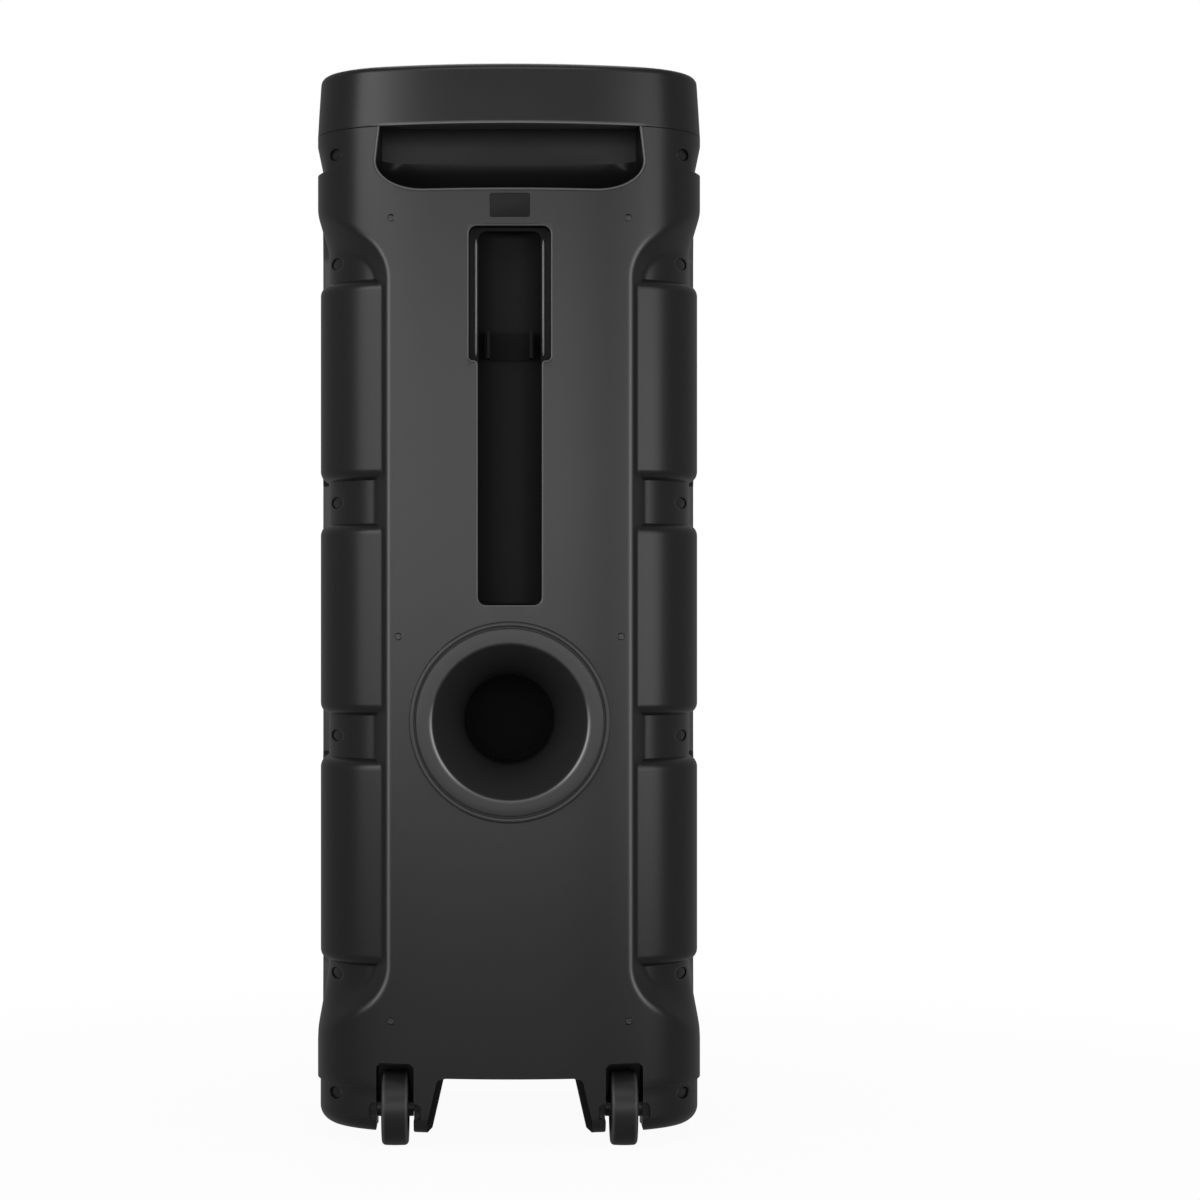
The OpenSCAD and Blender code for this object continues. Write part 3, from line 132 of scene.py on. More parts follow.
def combine(piece, tool, operation, sharp=40.0):
    """Takes the tool's volume out of the piece, adds it or keeps what both share, and leaves
    the result as a plain mesh."""
    modifier = piece.modifiers.new("combine", "BOOLEAN")
    modifier.operation = operation
    modifier.solver = "EXACT"
    modifier.object = tool
    bpy.context.view_layer.update()
    graph = bpy.context.evaluated_depsgraph_get()
    result = bpy.data.meshes.new_from_object(piece.evaluated_get(graph))
    piece.modifiers.clear()
    old = piece.data
    piece.data = result
    bpy.data.meshes.remove(old)
    bpy.data.objects.remove(tool)
    result.shade_smooth()
    result.set_sharp_from_angle(angle=math.radians(sharp))


def cut(piece, *shells, sharp=40.0):
    """Takes closed shells, which don't overlap each other, out of the piece."""
    combine(piece, solid("cutter", *shells), "DIFFERENCE", sharp)


def ring_y(outline, y):
    """Ring in the plane y, or at one y per point, from an outline in X and Z."""
    return np.stack([outline[:, 0], y + 0 * outline[:, 0], outline[:, 1]], -1)


def ring_z(outline, z):
    """Ring in the plane z from an outline in X and Y."""
    return np.stack([outline[:, 0], outline[:, 1], z + 0 * outline[:, 0]], -1)


def ring_stack(rings):
    """Closed shell through a list of (n, 3) rings of equal length, each joined to the next by
    quads, with the first and last closed by a flat face."""
    n = len(rings[0])
    faces = grid_quads(len(rings), n, close_u=True)
    faces += [list(range(n))[::-1], list(range((len(rings) - 1) * n, len(rings) * n))]
    return np.concatenate(rings), faces


def along_y(outline, low, high):
    """Straight bar with an outline in X and Z from one y to another."""
    return ring_stack([ring_y(outline, low), ring_y(outline, high)])


def along_z(outline, low, high):
    """Straight bar with an outline in X and Y from one height to another."""
    outline = np.asarray(outline, float)
    return ring_stack([ring_z(outline, low), ring_z(outline, high)])


def block(x0, x1, y0, y1):
    """Outline of a rectangle from its sides."""
    return np.array([[x0, y0], [x1, y0], [x1, y1], [x0, y1]], float)


def circle(r, x, z, around=24):
    """Closed outline of a circle round a point."""
    a = np.linspace(0, 2 * math.pi, around, endpoint=False)
    return np.stack([x + r * np.cos(a), z + r * np.sin(a)], -1)


def rounded_outline(w, h, r, middle=(0.0, 0.0), steps=10):
    """Rectangle with circular corners, anticlockwise."""
    turn = np.radians(np.linspace(0, 90, steps + 1))
    parts = []
    for k, (sx, sy) in enumerate(((1, 1), (-1, 1), (-1, -1), (1, -1))):
        a = turn + k * math.pi / 2
        parts.append(np.stack([sx * (w / 2 - r) + r * np.cos(a), sy * (h / 2 - r) + r * np.sin(a)], -1))
    return np.concatenate(parts) + np.asarray(middle)


def quarter_round(radius, start, end, count):
    """Pairs of how far a quarter round has gone across and how far it has left to go along, at
    angles from start to end: the radius times 1 less the cosine, and times 1 less the sine."""
    t = np.radians(np.linspace(start, end, count))
    return np.stack([radius * (1 - np.cos(t)), radius * (1 - np.sin(t))], -1)


def arc(centre, radius, start, end, steps=6):
    """Points of a circular arc in a profile's plane, angles in degrees."""
    a = np.radians(np.linspace(start, end, steps + 1))
    return [(centre[0] + radius * math.cos(t), centre[1] + radius * math.sin(t)) for t in a]


def revolve(profile, centre, axis=1, sign=1.0, around=96, closed=True):
    """Profile of (radius, distance) turned about an axis through the centre: each point goes
    round a circle of its radius at its distance along the axis."""
    profile = np.asarray(profile, float)
    a = np.linspace(0, 2 * math.pi, around, endpoint=False)
    r, d = profile[:, :1], profile[:, 1:]
    points = np.zeros((len(profile), around, 3))
    other = [k for k in range(3) if k != axis]
    points[..., other[0]] = r * np.cos(a)
    points[..., other[1]] = r * np.sin(a)
    points[..., axis] = sign * d + 0 * a
    points += np.asarray(centre, float)
    return points.reshape(-1, 3), grid_quads(len(profile), around, close_u=True, close_v=closed)


def graded(stops):
    """Values from one stop to the next at each stop's spacing: [(start, step), ..., (end, 0)]."""
    parts = [np.linspace(a, b, max(int(round((b - a) / step)), 1), endpoint=False)
             for (a, step), (b, _) in zip(stops[:-1], stops[1:])]
    return np.concatenate(parts + [[stops[-1][0]]])


def smooth_min(a, b, k):
    """The smaller of two values, with a rounding of size k where they cross."""
    h = np.clip(0.5 + 0.5 * (b - a) / k, 0, 1)
    return b + (a - b) * h - k * h * (1 - h)


def smooth_ramp(x, low, high):
    """0 below low and 1 above high, with a smooth rise between."""
    t = np.clip((x - low) / (high - low), 0, 1)
    return t * t * (3 - 2 * t)


# ---- Plan outline of the cabinet ---------------------------------------------------------

CORNER_X, CORNER_Y, ARC_END = HALF_W - CORNER_R, 66.44, 95.19    # corner's centre, end of the arc
TOUCH = math.atan2(CORNER_X, math.sqrt((REAR_R - CORNER_R) ** 2 - CORNER_X ** 2))
ARC_L, CORNER_L, SIDE_L = REAR_R * TOUCH, CORNER_R * (math.pi / 2 - TOUCH), 106.4
OUTLINE_L = 292.47                              # from the middle of the back to a front end


def rear_outline(u, side_in=0.0, rear_in=0.0, skin=0.0):
    """Point of the rear outline at u from -3 (left front end) to 3 (right front end): u within
    1 lies on the shallow arc across the back, 1 to 2 on the corner's arc and 2 to 3 on the
    straight side. The insets may be arrays of u's shape."""
    s, t = np.sign(u), np.abs(u)
    cx = HALF_W - side_in - CORNER_R
    by = REAR_Y - rear_in - REAR_R
    cy = by + np.sqrt((REAR_R - CORNER_R) ** 2 - cx ** 2)
    touch = np.arctan2(cx, cy - by)
    a = touch * np.minimum(t, 1)
    b = touch + (math.pi / 2 - touch) * np.clip(t - 1, 0, 1)
    on_arc = t <= 1
    x = np.where(on_arc, (REAR_R - skin) * np.sin(a), cx + (CORNER_R - skin) * np.sin(b))
    y = np.where(on_arc, by + (REAR_R - skin) * np.cos(a), cy + (CORNER_R - skin) * np.cos(b))
    y = np.where(t > 2, cy + (SPLIT_Y - cy) * (t - 2), y)
    return s * x, y


def u_of(s):
    """Outline parameter of a distance s along the outline from its middle."""
    s = np.asarray(s, float)
    past_arc, past_corner = s - ARC_L, s - ARC_L - CORNER_L
    bent = np.where(past_corner < 0, 1 + past_arc / CORNER_L, 2 + past_corner / SIDE_L)
    return np.where(past_arc < 0, s / ARC_L, bent)


def both_ways(stops):
    """Outline parameters from one front end to the other, at graded distances from the middle."""
    half = u_of(graded(stops))
    return np.concatenate([-half[:0:-1], half])


def face_y(x):
    """Depth of the full outline's back face at a distance x from the middle."""
    x = np.abs(np.asarray(x, float))
    back = REAR_Y - REAR_R + np.sqrt(REAR_R ** 2 - np.minimum(x, ARC_END) ** 2)
    corner = CORNER_Y + np.sqrt(np.maximum(CORNER_R ** 2 - (x - CORNER_X) ** 2, 0))
    return np.where(x < ARC_END, back, corner)


def set_back(outline, back):
    """Ring that follows the curved back at a distance in from it."""
    return ring_y(outline, face_y(outline[:, 0]) - back)


# ---- Rear housing ------------------------------------------------------------------------

LOW_RUN, HIGH_RUN, RUN_LEVEL = 20.0, 5.0, 300.0     # how much longer the slope is at the side
TOP_ROUND, FOOT_ROUND, PAD_EDGE = 0.16, 0.12, 0.10  # roundings, as shares of the depth
SLOPE_START = 0.04
NECK_STEP, NECK_FLAT, NECK_RUN = 0.7, 3.0, 19.0
TOP_CHAMFER, SPLIT_CHAMFER, SPLIT_RUN = 0.4, 0.5, 0.7


def inside_distance(x, z):
    """How far a point of the back lies inside the region cut back beside the spine: the least
    of its distances from the spine's edge, the quarter turns of the flares and their rises."""
    x = np.abs(x)
    best = np.full(np.broadcast(x, z).shape, np.inf)
    for level, up in ((TOP_FLARE, 1.0), (LOW_FLARE, -1.0)):
        px, pz = x - SPINE - FLARE_R, up * (z - level)
        line = px * math.sin(FLARE_SLOPE) - pz * math.cos(FLARE_SLOPE) + FLARE_R
        along = px * math.cos(FLARE_SLOPE) + pz * math.sin(FLARE_SLOPE)
        turn = FLARE_R - np.hypot(px, pz)
        best = np.minimum(best, np.where((pz > 0) & (along < 0), turn, np.minimum(x - SPINE, line)))
    return best


def pad_level(z):
    """1 at the notch floor, falling to 0 on the pads with an elliptic round at each end."""
    level = np.ones_like(z)
    for low, high in PADS:
        s = np.minimum(z - low, high - z) / PAD_ROUND
        rise = np.where(s <= 0, 0.0, np.sqrt(np.maximum(1 - (1 - np.clip(s, 0, 1)) ** 2, 0)))
        level = np.minimum(level, 1 - rise)
    return level


def rear_surface(u, z):
    """Outer surface of the rear housing. Full outline on the spine, flares and belts. Beside
    them it goes back by the depth of the wall that slopes from their edge, no deeper than the
    pads, and no deeper than the notch floor between pads. Neck and plinth lean in at the sides."""
    x0, y0 = rear_outline(u)
    t = np.abs(u)
    run = SPINE_RUN + np.where(z < RUN_LEVEL, LOW_RUN, HIGH_RUN) * smooth_ramp(t, 1.3, 2.0)
    distance = inside_distance(x0, z) / run + SLOPE_START
    slope = -smooth_min(-distance, 0 * z, TOP_ROUND)
    wall = np.clip(smooth_min(slope, 1 + 0 * z, FOOT_ROUND), 0, 1)
    at_side, at_rear = PAD_IN[0] / NOTCH_IN[0], PAD_IN[1] / NOTCH_IN[1]
    share = at_rear + (at_side - at_rear) * smooth_ramp(t, 1.0, 2.0)
    floor = share + (1 - share) * pad_level(z)
    depth = np.clip(smooth_min(wall, floor, PAD_EDGE), 0, 1)
    behind_rim = smooth_ramp(y0, RIM_Y - 0.6, RIM_Y + 1.0)
    neck = np.clip(1 - (z - NECK_Z - NECK_FLAT) / NECK_RUN, 0, 1) * (z >= NECK_Z)
    neck = neck * smooth_ramp(z, NECK_Z - 0.01, NECK_Z + NECK_STEP) * smooth_ramp(t, 1.55, 1.95)
    plinth = smooth_ramp(-z, -PLINTH_Z - 0.5, -PLINTH_Z + 0.5)
    side_in = NOTCH_IN[0] * depth * behind_rim + NECK_IN * neck + PLINTH_IN * plinth
    h = np.clip(z - GROUND, 0, LOW_ROUND)
    skin = LOW_ROUND - np.sqrt(np.maximum(LOW_ROUND ** 2 - (LOW_ROUND - h) ** 2, 0))
    skin = skin + np.clip(z - (CAP_Z - TOP_CHAMFER), 0, TOP_CHAMFER)
    skin = skin + SPLIT_CHAMFER * smooth_ramp(-y0, -SPLIT_Y - SPLIT_RUN, -SPLIT_Y)
    x, y = rear_outline(u, side_in, NOTCH_IN[1] * depth, skin)
    return np.where(t > 2, np.sign(u) * (HALF_W - side_in - skin), x), y


def skin_grid(stops, levels):
    """rear_surface on a grid of outline parameters and heights, as an array of points, its quads
    and the indices of its bottom, top, left and right edges."""
    uu, zz = np.meshgrid(both_ways(stops), graded(levels))
    x, y = rear_surface(uu, zz)
    index = np.arange(uu.size).reshape(uu.shape)
    edges = [line.tolist() for line in (index[0], index[-1], index[:, 0], index[:, -1])]
    return np.stack([x, y, zz], -1).reshape(-1, 3), grid_quads(*uu.shape), edges


def rear_shell():
    """The housing's outer skin, finest where its edges are, closed by flat faces below, above
    and in front, and by a plain straight hollow inside."""
    stops = [(0, 6.4), (77, 4.7), (86.4, 0.8), (104, 1.5), (186, 7), (252, 0.8), (260, 6), (291, 0.4)]
    levels = [(GROUND, 1), (GROUND + LOW_ROUND, 6), (PLINTH_Z - 0.6, 0.4), (PLINTH_Z + 0.6, 7), (80, 1.6)]
    for low, high in PADS:
        levels += [(low - 0.5, 0.8), (low + 8.5, 12), (high - 8.5, 0.8), (high + 0.5, 6)]
    levels[-1] = (levels[-1][0], 1.6)
    levels += [(700, 5), (NECK_Z - 0.4, 0.3), (NECK_Z + 0.8, 1.6), (750, 1.5), (CAP_Z - 0.4, 0.4), (CAP_Z, 0)]
    outer, faces, (bottom, top, left, right) = skin_grid(stops + [(OUTLINE_L, 0)], levels)
    hollow = np.stack(rear_outline(np.linspace(-3, 3, 61), *NOTCH_IN, WALL), -1)
    n, start = len(hollow), len(outer)
    low, high = list(range(start, start + n)), list(range(start + n, start + 2 * n))
    faces += grid_quads(2, n, start=start)
    faces += [bottom, low, top + high[::-1], left[::-1] + right + [high[-1], low[-1], low[0], high[0]]]
    points = np.concatenate([outer, ring_z(hollow, FLOOR_Z + WALL), ring_z(hollow, CAP_Z)])
    return solid("rear_shell", (points, faces))


def outer_core():
    """Closed solid of the rear surface alone, a little inside it, which trims what is built
    up behind the skin."""
    inset = 0.4
    stops = [(0, 12), (80, 3), (186, 8), (252, 2), (291, 0)]
    levels = [(12, 4), (80, 3), (132.5, 2), (300, 4), (700, 2), (CAP_Z - 1, 0)]
    points, faces, (bottom, top, left, right) = skin_grid(stops, levels)
    points = points * [1 - inset / HALF_W, 1, 1] - [0, inset, 0]
    return solid("core", (points, faces + [bottom, top, left[::-1] + right]))


def hand_ring(grow, top, steps=14, lift=None):
    """Outline of the hand-hold: straight top at a height, ends that lean in towards it, and
    quarter ellipses for lower corners. The bottom rises by lift where it isn't minus grow."""
    lift = -grow if lift is None else lift
    high = CORNER_H - lift
    if lift > 0:
        high = max(high, 7.0 + 0.3 * high)

    def end_x(z):
        return HAND_X + grow - HAND_LEAN * (z - HAND_Z - CORNER_H) / (CAP_Z - HAND_Z - CORNER_H)

    cx, cz = HAND_X - CORNER_W, HAND_Z + lift + high
    end, far = end_x(cz), end_x(top)
    a = np.radians(np.linspace(0, 90, steps + 1))
    right = np.stack([cx + (end - cx) * np.cos(a), cz - high * np.sin(a)], -1)
    floor = np.stack([np.linspace(cx, -cx, 21)[1:-1], np.full(19, HAND_Z + lift)], -1)
    side = np.linspace(0, 1, 4)[1:-1]
    up = np.stack([-end - (far - end) * side, cz + (top - cz) * side], -1)
    down = np.stack([far + (end - far) * side, top + (cz - top) * side], -1)
    across = np.stack([np.linspace(-far, far, 21), np.full(21, top)], -1)
    return np.concatenate([right, floor, right[::-1] * [-1, 1], up, across, down])


def dock_ring(grow, steps=6):
    """Outline of the microphone dock: wide head above a narrow trough, with rounded corners,
    the two inner corners filleted the other way."""
    turn = np.radians(np.linspace(0, 90, steps + 1))
    sin, cos = np.sin(turn), np.cos(turn)
    hw, tw = HEAD_W / 2 + grow, TROUGH_W / 2 + grow
    top, step, low = HEAD_Z + HEAD_H + grow, HEAD_Z - grow, TROUGH_Z - grow
    r, short, fillet = DOCK_R + grow, 3.0, max(3.0 - grow, 0.4)
    right = np.concatenate([np.stack([hw - r + r * sin, top - r + r * cos], -1),
                            np.stack([hw - short + short * cos, step + short - short * sin], -1),
                            np.stack([tw + fillet - fillet * sin, step - fillet + fillet * cos], -1),
                            np.stack([tw - r + r * cos, low + r - r * sin], -1)])
    return np.concatenate([right, right[::-1] * [-1, 1]])


def lip_shell(outline_of, radius, depth, wall):
    """Cutter whose mouth ends in a quarter round that follows the curved back. The hole is wider
    by wall from the lip's end to the given depth, for what is set in from behind."""
    rings = [ring_y(outline_of(wall), depth), set_back(outline_of(wall), LIP_BACK),
             set_back(outline_of(0), LIP_BACK)]
    rings += [set_back(outline_of(grow), back) for grow, back in quarter_round(radius, 0, 90, 7)]
    return ring_stack(rings + [set_back(outline_of(radius), -LIP_PAST)])


def arch_shell():
    """Cutter between the wheel legs. From a little in from the back its sides move outwards,
    and the back's edge has a small chamfer."""
    top = np.stack([np.linspace(-46, 46, 13)[1:-1], np.full(11, FLOOR_Z)], -1)
    outline = np.concatenate([ARCH_SIDE, top, ARCH_SIDE[::-1] * [-1, 1]])
    step = np.roll(outline, -1, 0) - np.roll(outline, 1, 0)
    step[0], step[-1] = outline[1] - outline[0], outline[-1] - outline[-2]
    normal = np.stack([-step[:, 1], step[:, 0]], -1) / np.linalg.norm(step, axis=1)[:, None]

    def grown(grow):
        return outline + grow * normal * [1.0, 0.15]

    rings = [ring_y(outline, SPLIT_Y - 1), set_back(outline, ARCH_DEEP)]
    rings += [set_back(grown(ARCH_WIDE + more), back) for more, back in ((-0.6, 1.5), (0, 0.4), (0.6, -6))]
    return ring_stack(rings)


def surface_y(x, z):
    """Depth of rear_surface at points of the rounded corner: found between the two nearest of
    a fine row of outline parameters at each point's height."""
    u = np.linspace(1.0, 2.0, 240)[:, None]
    across, depth = rear_surface(u + 0 * z, z + 0 * u)
    k = np.clip((across < np.abs(x)).sum(0), 1, len(u) - 1)
    i = np.arange(len(x))
    share = (np.abs(x) - across[k - 1, i]) / (across[k, i] - across[k - 1, i])
    return depth[k - 1, i] + share * (depth[k, i] - depth[k - 1, i])


def well_ring(side, z, radius, back):
    """Circle round a screw well that follows the corner at a distance in from it."""
    outline = circle(radius, side * WELL_X, z)
    return ring_y(outline, surface_y(outline[:, 0], outline[:, 1]) - back)


def well_bore(side, z):
    """Screw well: straight bore with a quarter round lip that follows the corner."""
    rings = [ring_y(circle(WELL_R, side * WELL_X, z), SLEEVE_Y + 1.5)]
    rings += [well_ring(side, z, WELL_R + grow, back) for grow, back in quarter_round(LIP_WELL, 0, 90, 6)]
    return ring_stack(rings + [well_ring(side, z, WELL_R + LIP_WELL, -PAST)])


def well_plugs():
    """Round plugs set a little way down the screw wells, sloped like the corner."""
    profile = ((WELL_R - 0.05, 6.0), (WELL_R - 0.05, 3.4), (WELL_R - 0.5, 3.0))
    return solid("well_plugs", *[ring_stack([well_ring(side, z, radius, back) for radius, back in profile])
                                 for side in (-1, 1) for z in WELLS])


def screw_seat(x, z):
    """Round seat of a screw in the back, with a steep chamfer."""
    y = float(face_y(x))
    return ring_stack([ring_y(circle(r, x, z), y + d) for r, d in ((2.2, -4), (2.2, -1.0), (3.1, 0.6))])


def wheel_pocket(x):
    """Pocket over a wheel: straight sides with small chamfers above, and rounded leg corners
    that widen it at the ground."""
    x0, x1 = x - POCKET_W / 2, x + POCKET_W / 2
    rise, bend = quarter_round(LEG_ROUND, 0, 90, 6).T
    foot = np.stack([x1 + bend, GROUND + rise], -1)
    heel = np.stack([x0 - bend, GROUND + rise], -1)[::-1]
    top = [[x1, 60], [x1 - 3, 63], [x0 + 3, 63], [x0, 60]]
    outline = np.concatenate([[[x1 + LEG_ROUND, 10]], foot, top, heel, [[x0 - LEG_ROUND, 10]]])
    return along_y(outline, 86, 170)


def blank_outline(inset=0.0):
    """Outline of the shallow blank recess, or of something smaller in it."""
    return rounded_outline(BLANK_W - 2 * inset, BLANK_H - 2 * inset, BLANK_R, (0, BLANK_Z), 4)


def rear_housing():
    """The shell with boxes built up over the wheels, opened by three groups of cutters, and with
    a tube round each screw well, which is then bored."""
    shell = rear_shell()
    sides = (-1, 1)
    wheels = [side * WHEEL_X for side in sides]
    boxes = solid("boxes", *[along_z(block(x - POCKET_W / 2 - 3, x + POCKET_W / 2 + 3, 83, 150), 48, 66.5)
                             for x in wheels])
    tubes = solid("tubes", *[along_y(circle(SLEEVE_R, side * WELL_X, z), SLEEVE_Y, 170)
                             for side in sides for z in WELLS])
    combine(tubes, outer_core(), "INTERSECT")
    combine(boxes, outer_core(), "INTERSECT")
    combine(shell, boxes, "UNION")
    cut(shell, lip_shell(lambda grow: hand_ring(grow, CAP_Z + 3), LIP_HAND, CUP_Y - 6, CUP_WALL + 0.15),
        lip_shell(dock_ring, LIP_DOCK, 100, DOCK_WALL + 0.15),
        along_y(circle(FLANGE_R + 0.2, 0, PORT_Z, 144), 60, 170), arch_shell(),
        *[screw_seat(side * x, z) for side in sides for x, z in REAR_SCREWS],
        *[wheel_pocket(x) for x in wheels])
    under = np.array([[60.5, SPLIT_Y - 1], [139, SPLIT_Y - 1], [139, 62], [136, 80], [60.5, 80]])
    cut(shell, *[along_y(rounded_outline(POCKET_W + 11, 13, 4, (x, 27), 4), AXLE_Y + 5, 170) for x in wheels],
        *[along_z(under * [side, 1], 10, FLOOR_Z) for side in sides])
    blank = blank_outline()
    cut(shell, ring_stack([set_back(blank, 1.0), set_back(blank, -2)]),
        *[along_y(block(x - POCKET_W / 2, x + POCKET_W / 2, 10, 26), 70, 90) for x in wheels])
    combine(shell, tubes, "UNION")
    cut(shell, *[well_bore(side, z) for side in sides for z in WELLS])
    return shell


# ---- Front housing and top cap -----------------------------------------------------------

def plan_ring(skin=0.0, side_in=0.0, rear=True):
    """Closed plan outline, anticlockwise from the left rear. Either the whole cabinet, or the
    front half only, closed straight across at the parting line."""
    turn = np.radians(np.linspace(0, 90, 11))
    x, y, r = HALF_W - side_in - FRONT_R, FRONT_Y + FRONT_R, FRONT_R - skin
    left = np.stack([-x - r * np.cos(turn), y - r * np.sin(turn)], -1)
    front = np.stack([np.linspace(-x, x, 22)[1:-1], np.full(20, y - r)], -1)
    if rear:
        across = rear_outline(both_ways([(0, 8), (184, 4), (186.1, 0)]), side_in, 0, skin)
        back = np.stack(across, -1)[::-1]
        side = np.linspace(back[0, 1], y, 12)[1:-1]
    else:
        back = np.zeros((0, 2))
        side = SPLIT_Y - np.array([0, SPLIT_RUN, 12, 40])
    down = np.stack([np.full(len(side), side_in + skin - HALF_W), side], -1)
    if not rear:
        down[0, 0] += SPLIT_CHAMFER
    flip = [-1, 1]
    return np.concatenate([back, down, left, front, left[::-1] * flip, down[::-1] * flip])


def front_shell():
    """Plan outline carried up from a rounded lower edge, over the plinth's step, to the cap.
    The pocket for the grille, its ledge and the hollow behind it are cut out."""
    step = 0.5
    profile = [(skin, PLINTH_IN, GROUND + rise) for skin, rise in quarter_round(LOW_ROUND, 90, 0, 9)]
    profile += [(0, PLINTH_IN, 30), (0, PLINTH_IN, PLINTH_Z - step), (0, 0, PLINTH_Z + step)]
    profile += [(0, 0, z) for z in (200, 400, 600, CAP_Z - 0.8)] + [(0.6, 0, CAP_Z)]
    shell = solid("front_shell", ring_stack([ring_z(plan_ring(skin, inset, False), z)
                                             for skin, inset, z in profile]))

    def pocket(inset, y):
        outline = rounded_outline(2 * (POCKET_X - inset), POCKET_H - 2 * inset, 22 - inset,
                                  (0, POCKET_Z + POCKET_H / 2))
        return ring_y(outline, y)

    lip = [(0, 1.5), (-0.4, 0.5), (-1.5, -0.1), (-2.5, -1)]
    cut(shell, ring_stack([pocket(0, BAFFLE_Y + 12)] + [pocket(grow, FRONT_Y + y) for grow, y in lip]))
    cut(shell, ring_stack([pocket(LEDGE, -140), pocket(LEDGE, -105)]))
    skirt = np.array([[-139, -39], [-139, -126], [-121, -126], [-121, -146]])
    skirt = np.concatenate([skirt, skirt[::-1] * [-1, 1]])
    cut(shell, along_z(block(-141, 141, -112, -39), FLOOR_Z + WALL, 760), along_z(skirt, 5, FLOOR_Z))
    return shell


def cap_shell():
    """Plan outline lofted up the leaning band, round its upper edge, over the rim and down to the
    sunk deck, which closes it. The hollow under the deck stops short of the grip."""
    low_edge, band, (edge_w, edge_h) = 0.6, 3.2, CAP_EDGE
    profile = [(skin, CAP_Z + rise) for skin, rise in quarter_round(low_edge, 80, 0, 4)]
    profile += [(0.0, CAP_Z + 1.4), (0.1, CAP_Z + 2.6)]
    rise = HEIGHT - edge_h - CAP_Z - band
    profile += [(CAP_LEAN * k / 3, CAP_Z + band + rise * k / 3) for k in (1, 2, 3)]
    profile += [(CAP_LEAN + edge_w * (1 - math.cos(t)), HEIGHT - edge_h + edge_h * math.sin(t))
                for t in np.radians(np.arange(10, 91, 10))]
    down = [(-1.0, 0), (-0.3, 0.3), (0, 1), (0, DECK_DOWN - 1), (0.3, DECK_DOWN - 0.3), (1, DECK_DOWN),
            (2, DECK_DOWN)]
    profile += [(CAP_RIM + skin, HEIGHT - drop) for skin, drop in down]
    shell = solid("cap_shell", ring_stack([ring_z(plan_ring(skin), z) for skin, z in profile]))
    inner = plan_ring(6.5)
    inner[:, 1] = np.minimum(inner[:, 1], GRIP_Y)
    cut(shell, along_z(inner, CAP_Z - 5, HEIGHT - 14))
    cut(shell, along_z(rounded_outline(216.3, 122.3, 11, (0, PANEL_Y), 6), HEIGHT - 20, HEIGHT + 5))
    return shell


# ---- Hand-hold and microphone dock -------------------------------------------------------

def hand_liner():
    """Rounded pan whose outline is the hand-hold's, set in behind the shell's lip and joined to
    a box that goes up behind the grip."""
    outer = [(CUP_WALL - 8, CUP_Y - CUP_WALL), (CUP_WALL - 2, CUP_Y), (CUP_WALL, CUP_Y + 6)]
    rings = [ring_y(hand_ring(grow, CAP_Z - 0.1), y) for grow, y in outer]
    liner = solid("hand_liner", ring_stack(rings + [set_back(hand_ring(CUP_WALL, CAP_Z + 2), INSERT_BACK)]))
    wide = HAND_X - HAND_LEAN
    box = block(-wide - CUP_WALL, wide + CUP_WALL, CUP_Y - CUP_WALL, GRIP_Y)
    combine(liner, solid("box", along_z(box, CAP_Z - 8, CAP_Z + 28)), "UNION")
    inner = []
    for bend, left in quarter_round(1, 90, 0, 13):
        outline = hand_ring(-SCOOP_X * bend, CAP_Z + 5, lift=SCOOP_Z * bend)
        inner.append(ring_y(outline, CUP_Y + SCOOP_Y * left))
    cut(liner, ring_stack(inner + [set_back(hand_ring(0.0, CAP_Z + 5), -4)]), sharp=60)
    cut(liner, along_z(block(-wide, wide, CUP_Y, GRIP_Y - CUP_WALL), CAP_Z - 20, CAP_Z + 25), sharp=60)
    return liner


def trough_shell(grow, front):
    """The trough at rising heights: straight walls, then a half round floor, narrowing through
    a quarter round at both ends."""
    w, low, high = TROUGH_W / 2 + grow, TROUGH_Z - grow, HEAD_Z + HEAD_H - 2.8 + grow
    ends = [(low + along, w - across) for across, along in quarter_round(DOCK_R + grow, 90, 0, 7)]
    a = np.radians(np.linspace(180, 360, 33))
    rings = []
    for z, half in ends + [(low + high - z, half) for z, half in ends[::-1]]:
        depth = w - 0.6 * (w - half)
        x = np.concatenate([[-half], half * np.cos(a), [half]])
        y = np.concatenate([[front], REAR_Y - TROUGH_D + depth * np.sin(a), [front]])
        rings.append(ring_z(np.stack([x, y], -1), z))
    return ring_stack(rings)


def dock_insert():
    """Two nested recesses, the head's flat one and the handle's half round one, in a thin
    insert that is set in behind the shell's lip."""
    def head(grow):
        size = (HEAD_W + 2 * grow, HEAD_H + 2 * grow, DOCK_R + grow)
        return rounded_outline(*size, (0, HEAD_Z + HEAD_H / 2), 8)

    floor_y, outline = REAR_Y - HEAD_D, dock_ring(DOCK_WALL)
    insert = solid("dock_insert", ring_stack([ring_y(outline, floor_y - DOCK_WALL),
                                              set_back(outline, INSERT_BACK)]))
    combine(insert, solid("trough", trough_shell(DOCK_WALL, REAR_Y - 6)), "UNION")
    recess = [ring_y(head(grow), floor_y + rise) for grow, rise in ((-2, 0), (-0.6, 0.6), (0, 2))]
    cut(insert, ring_stack(recess + [set_back(head(0), -3)]))
    cut(insert, trough_shell(0, REAR_Y + 12.5))
    return insert


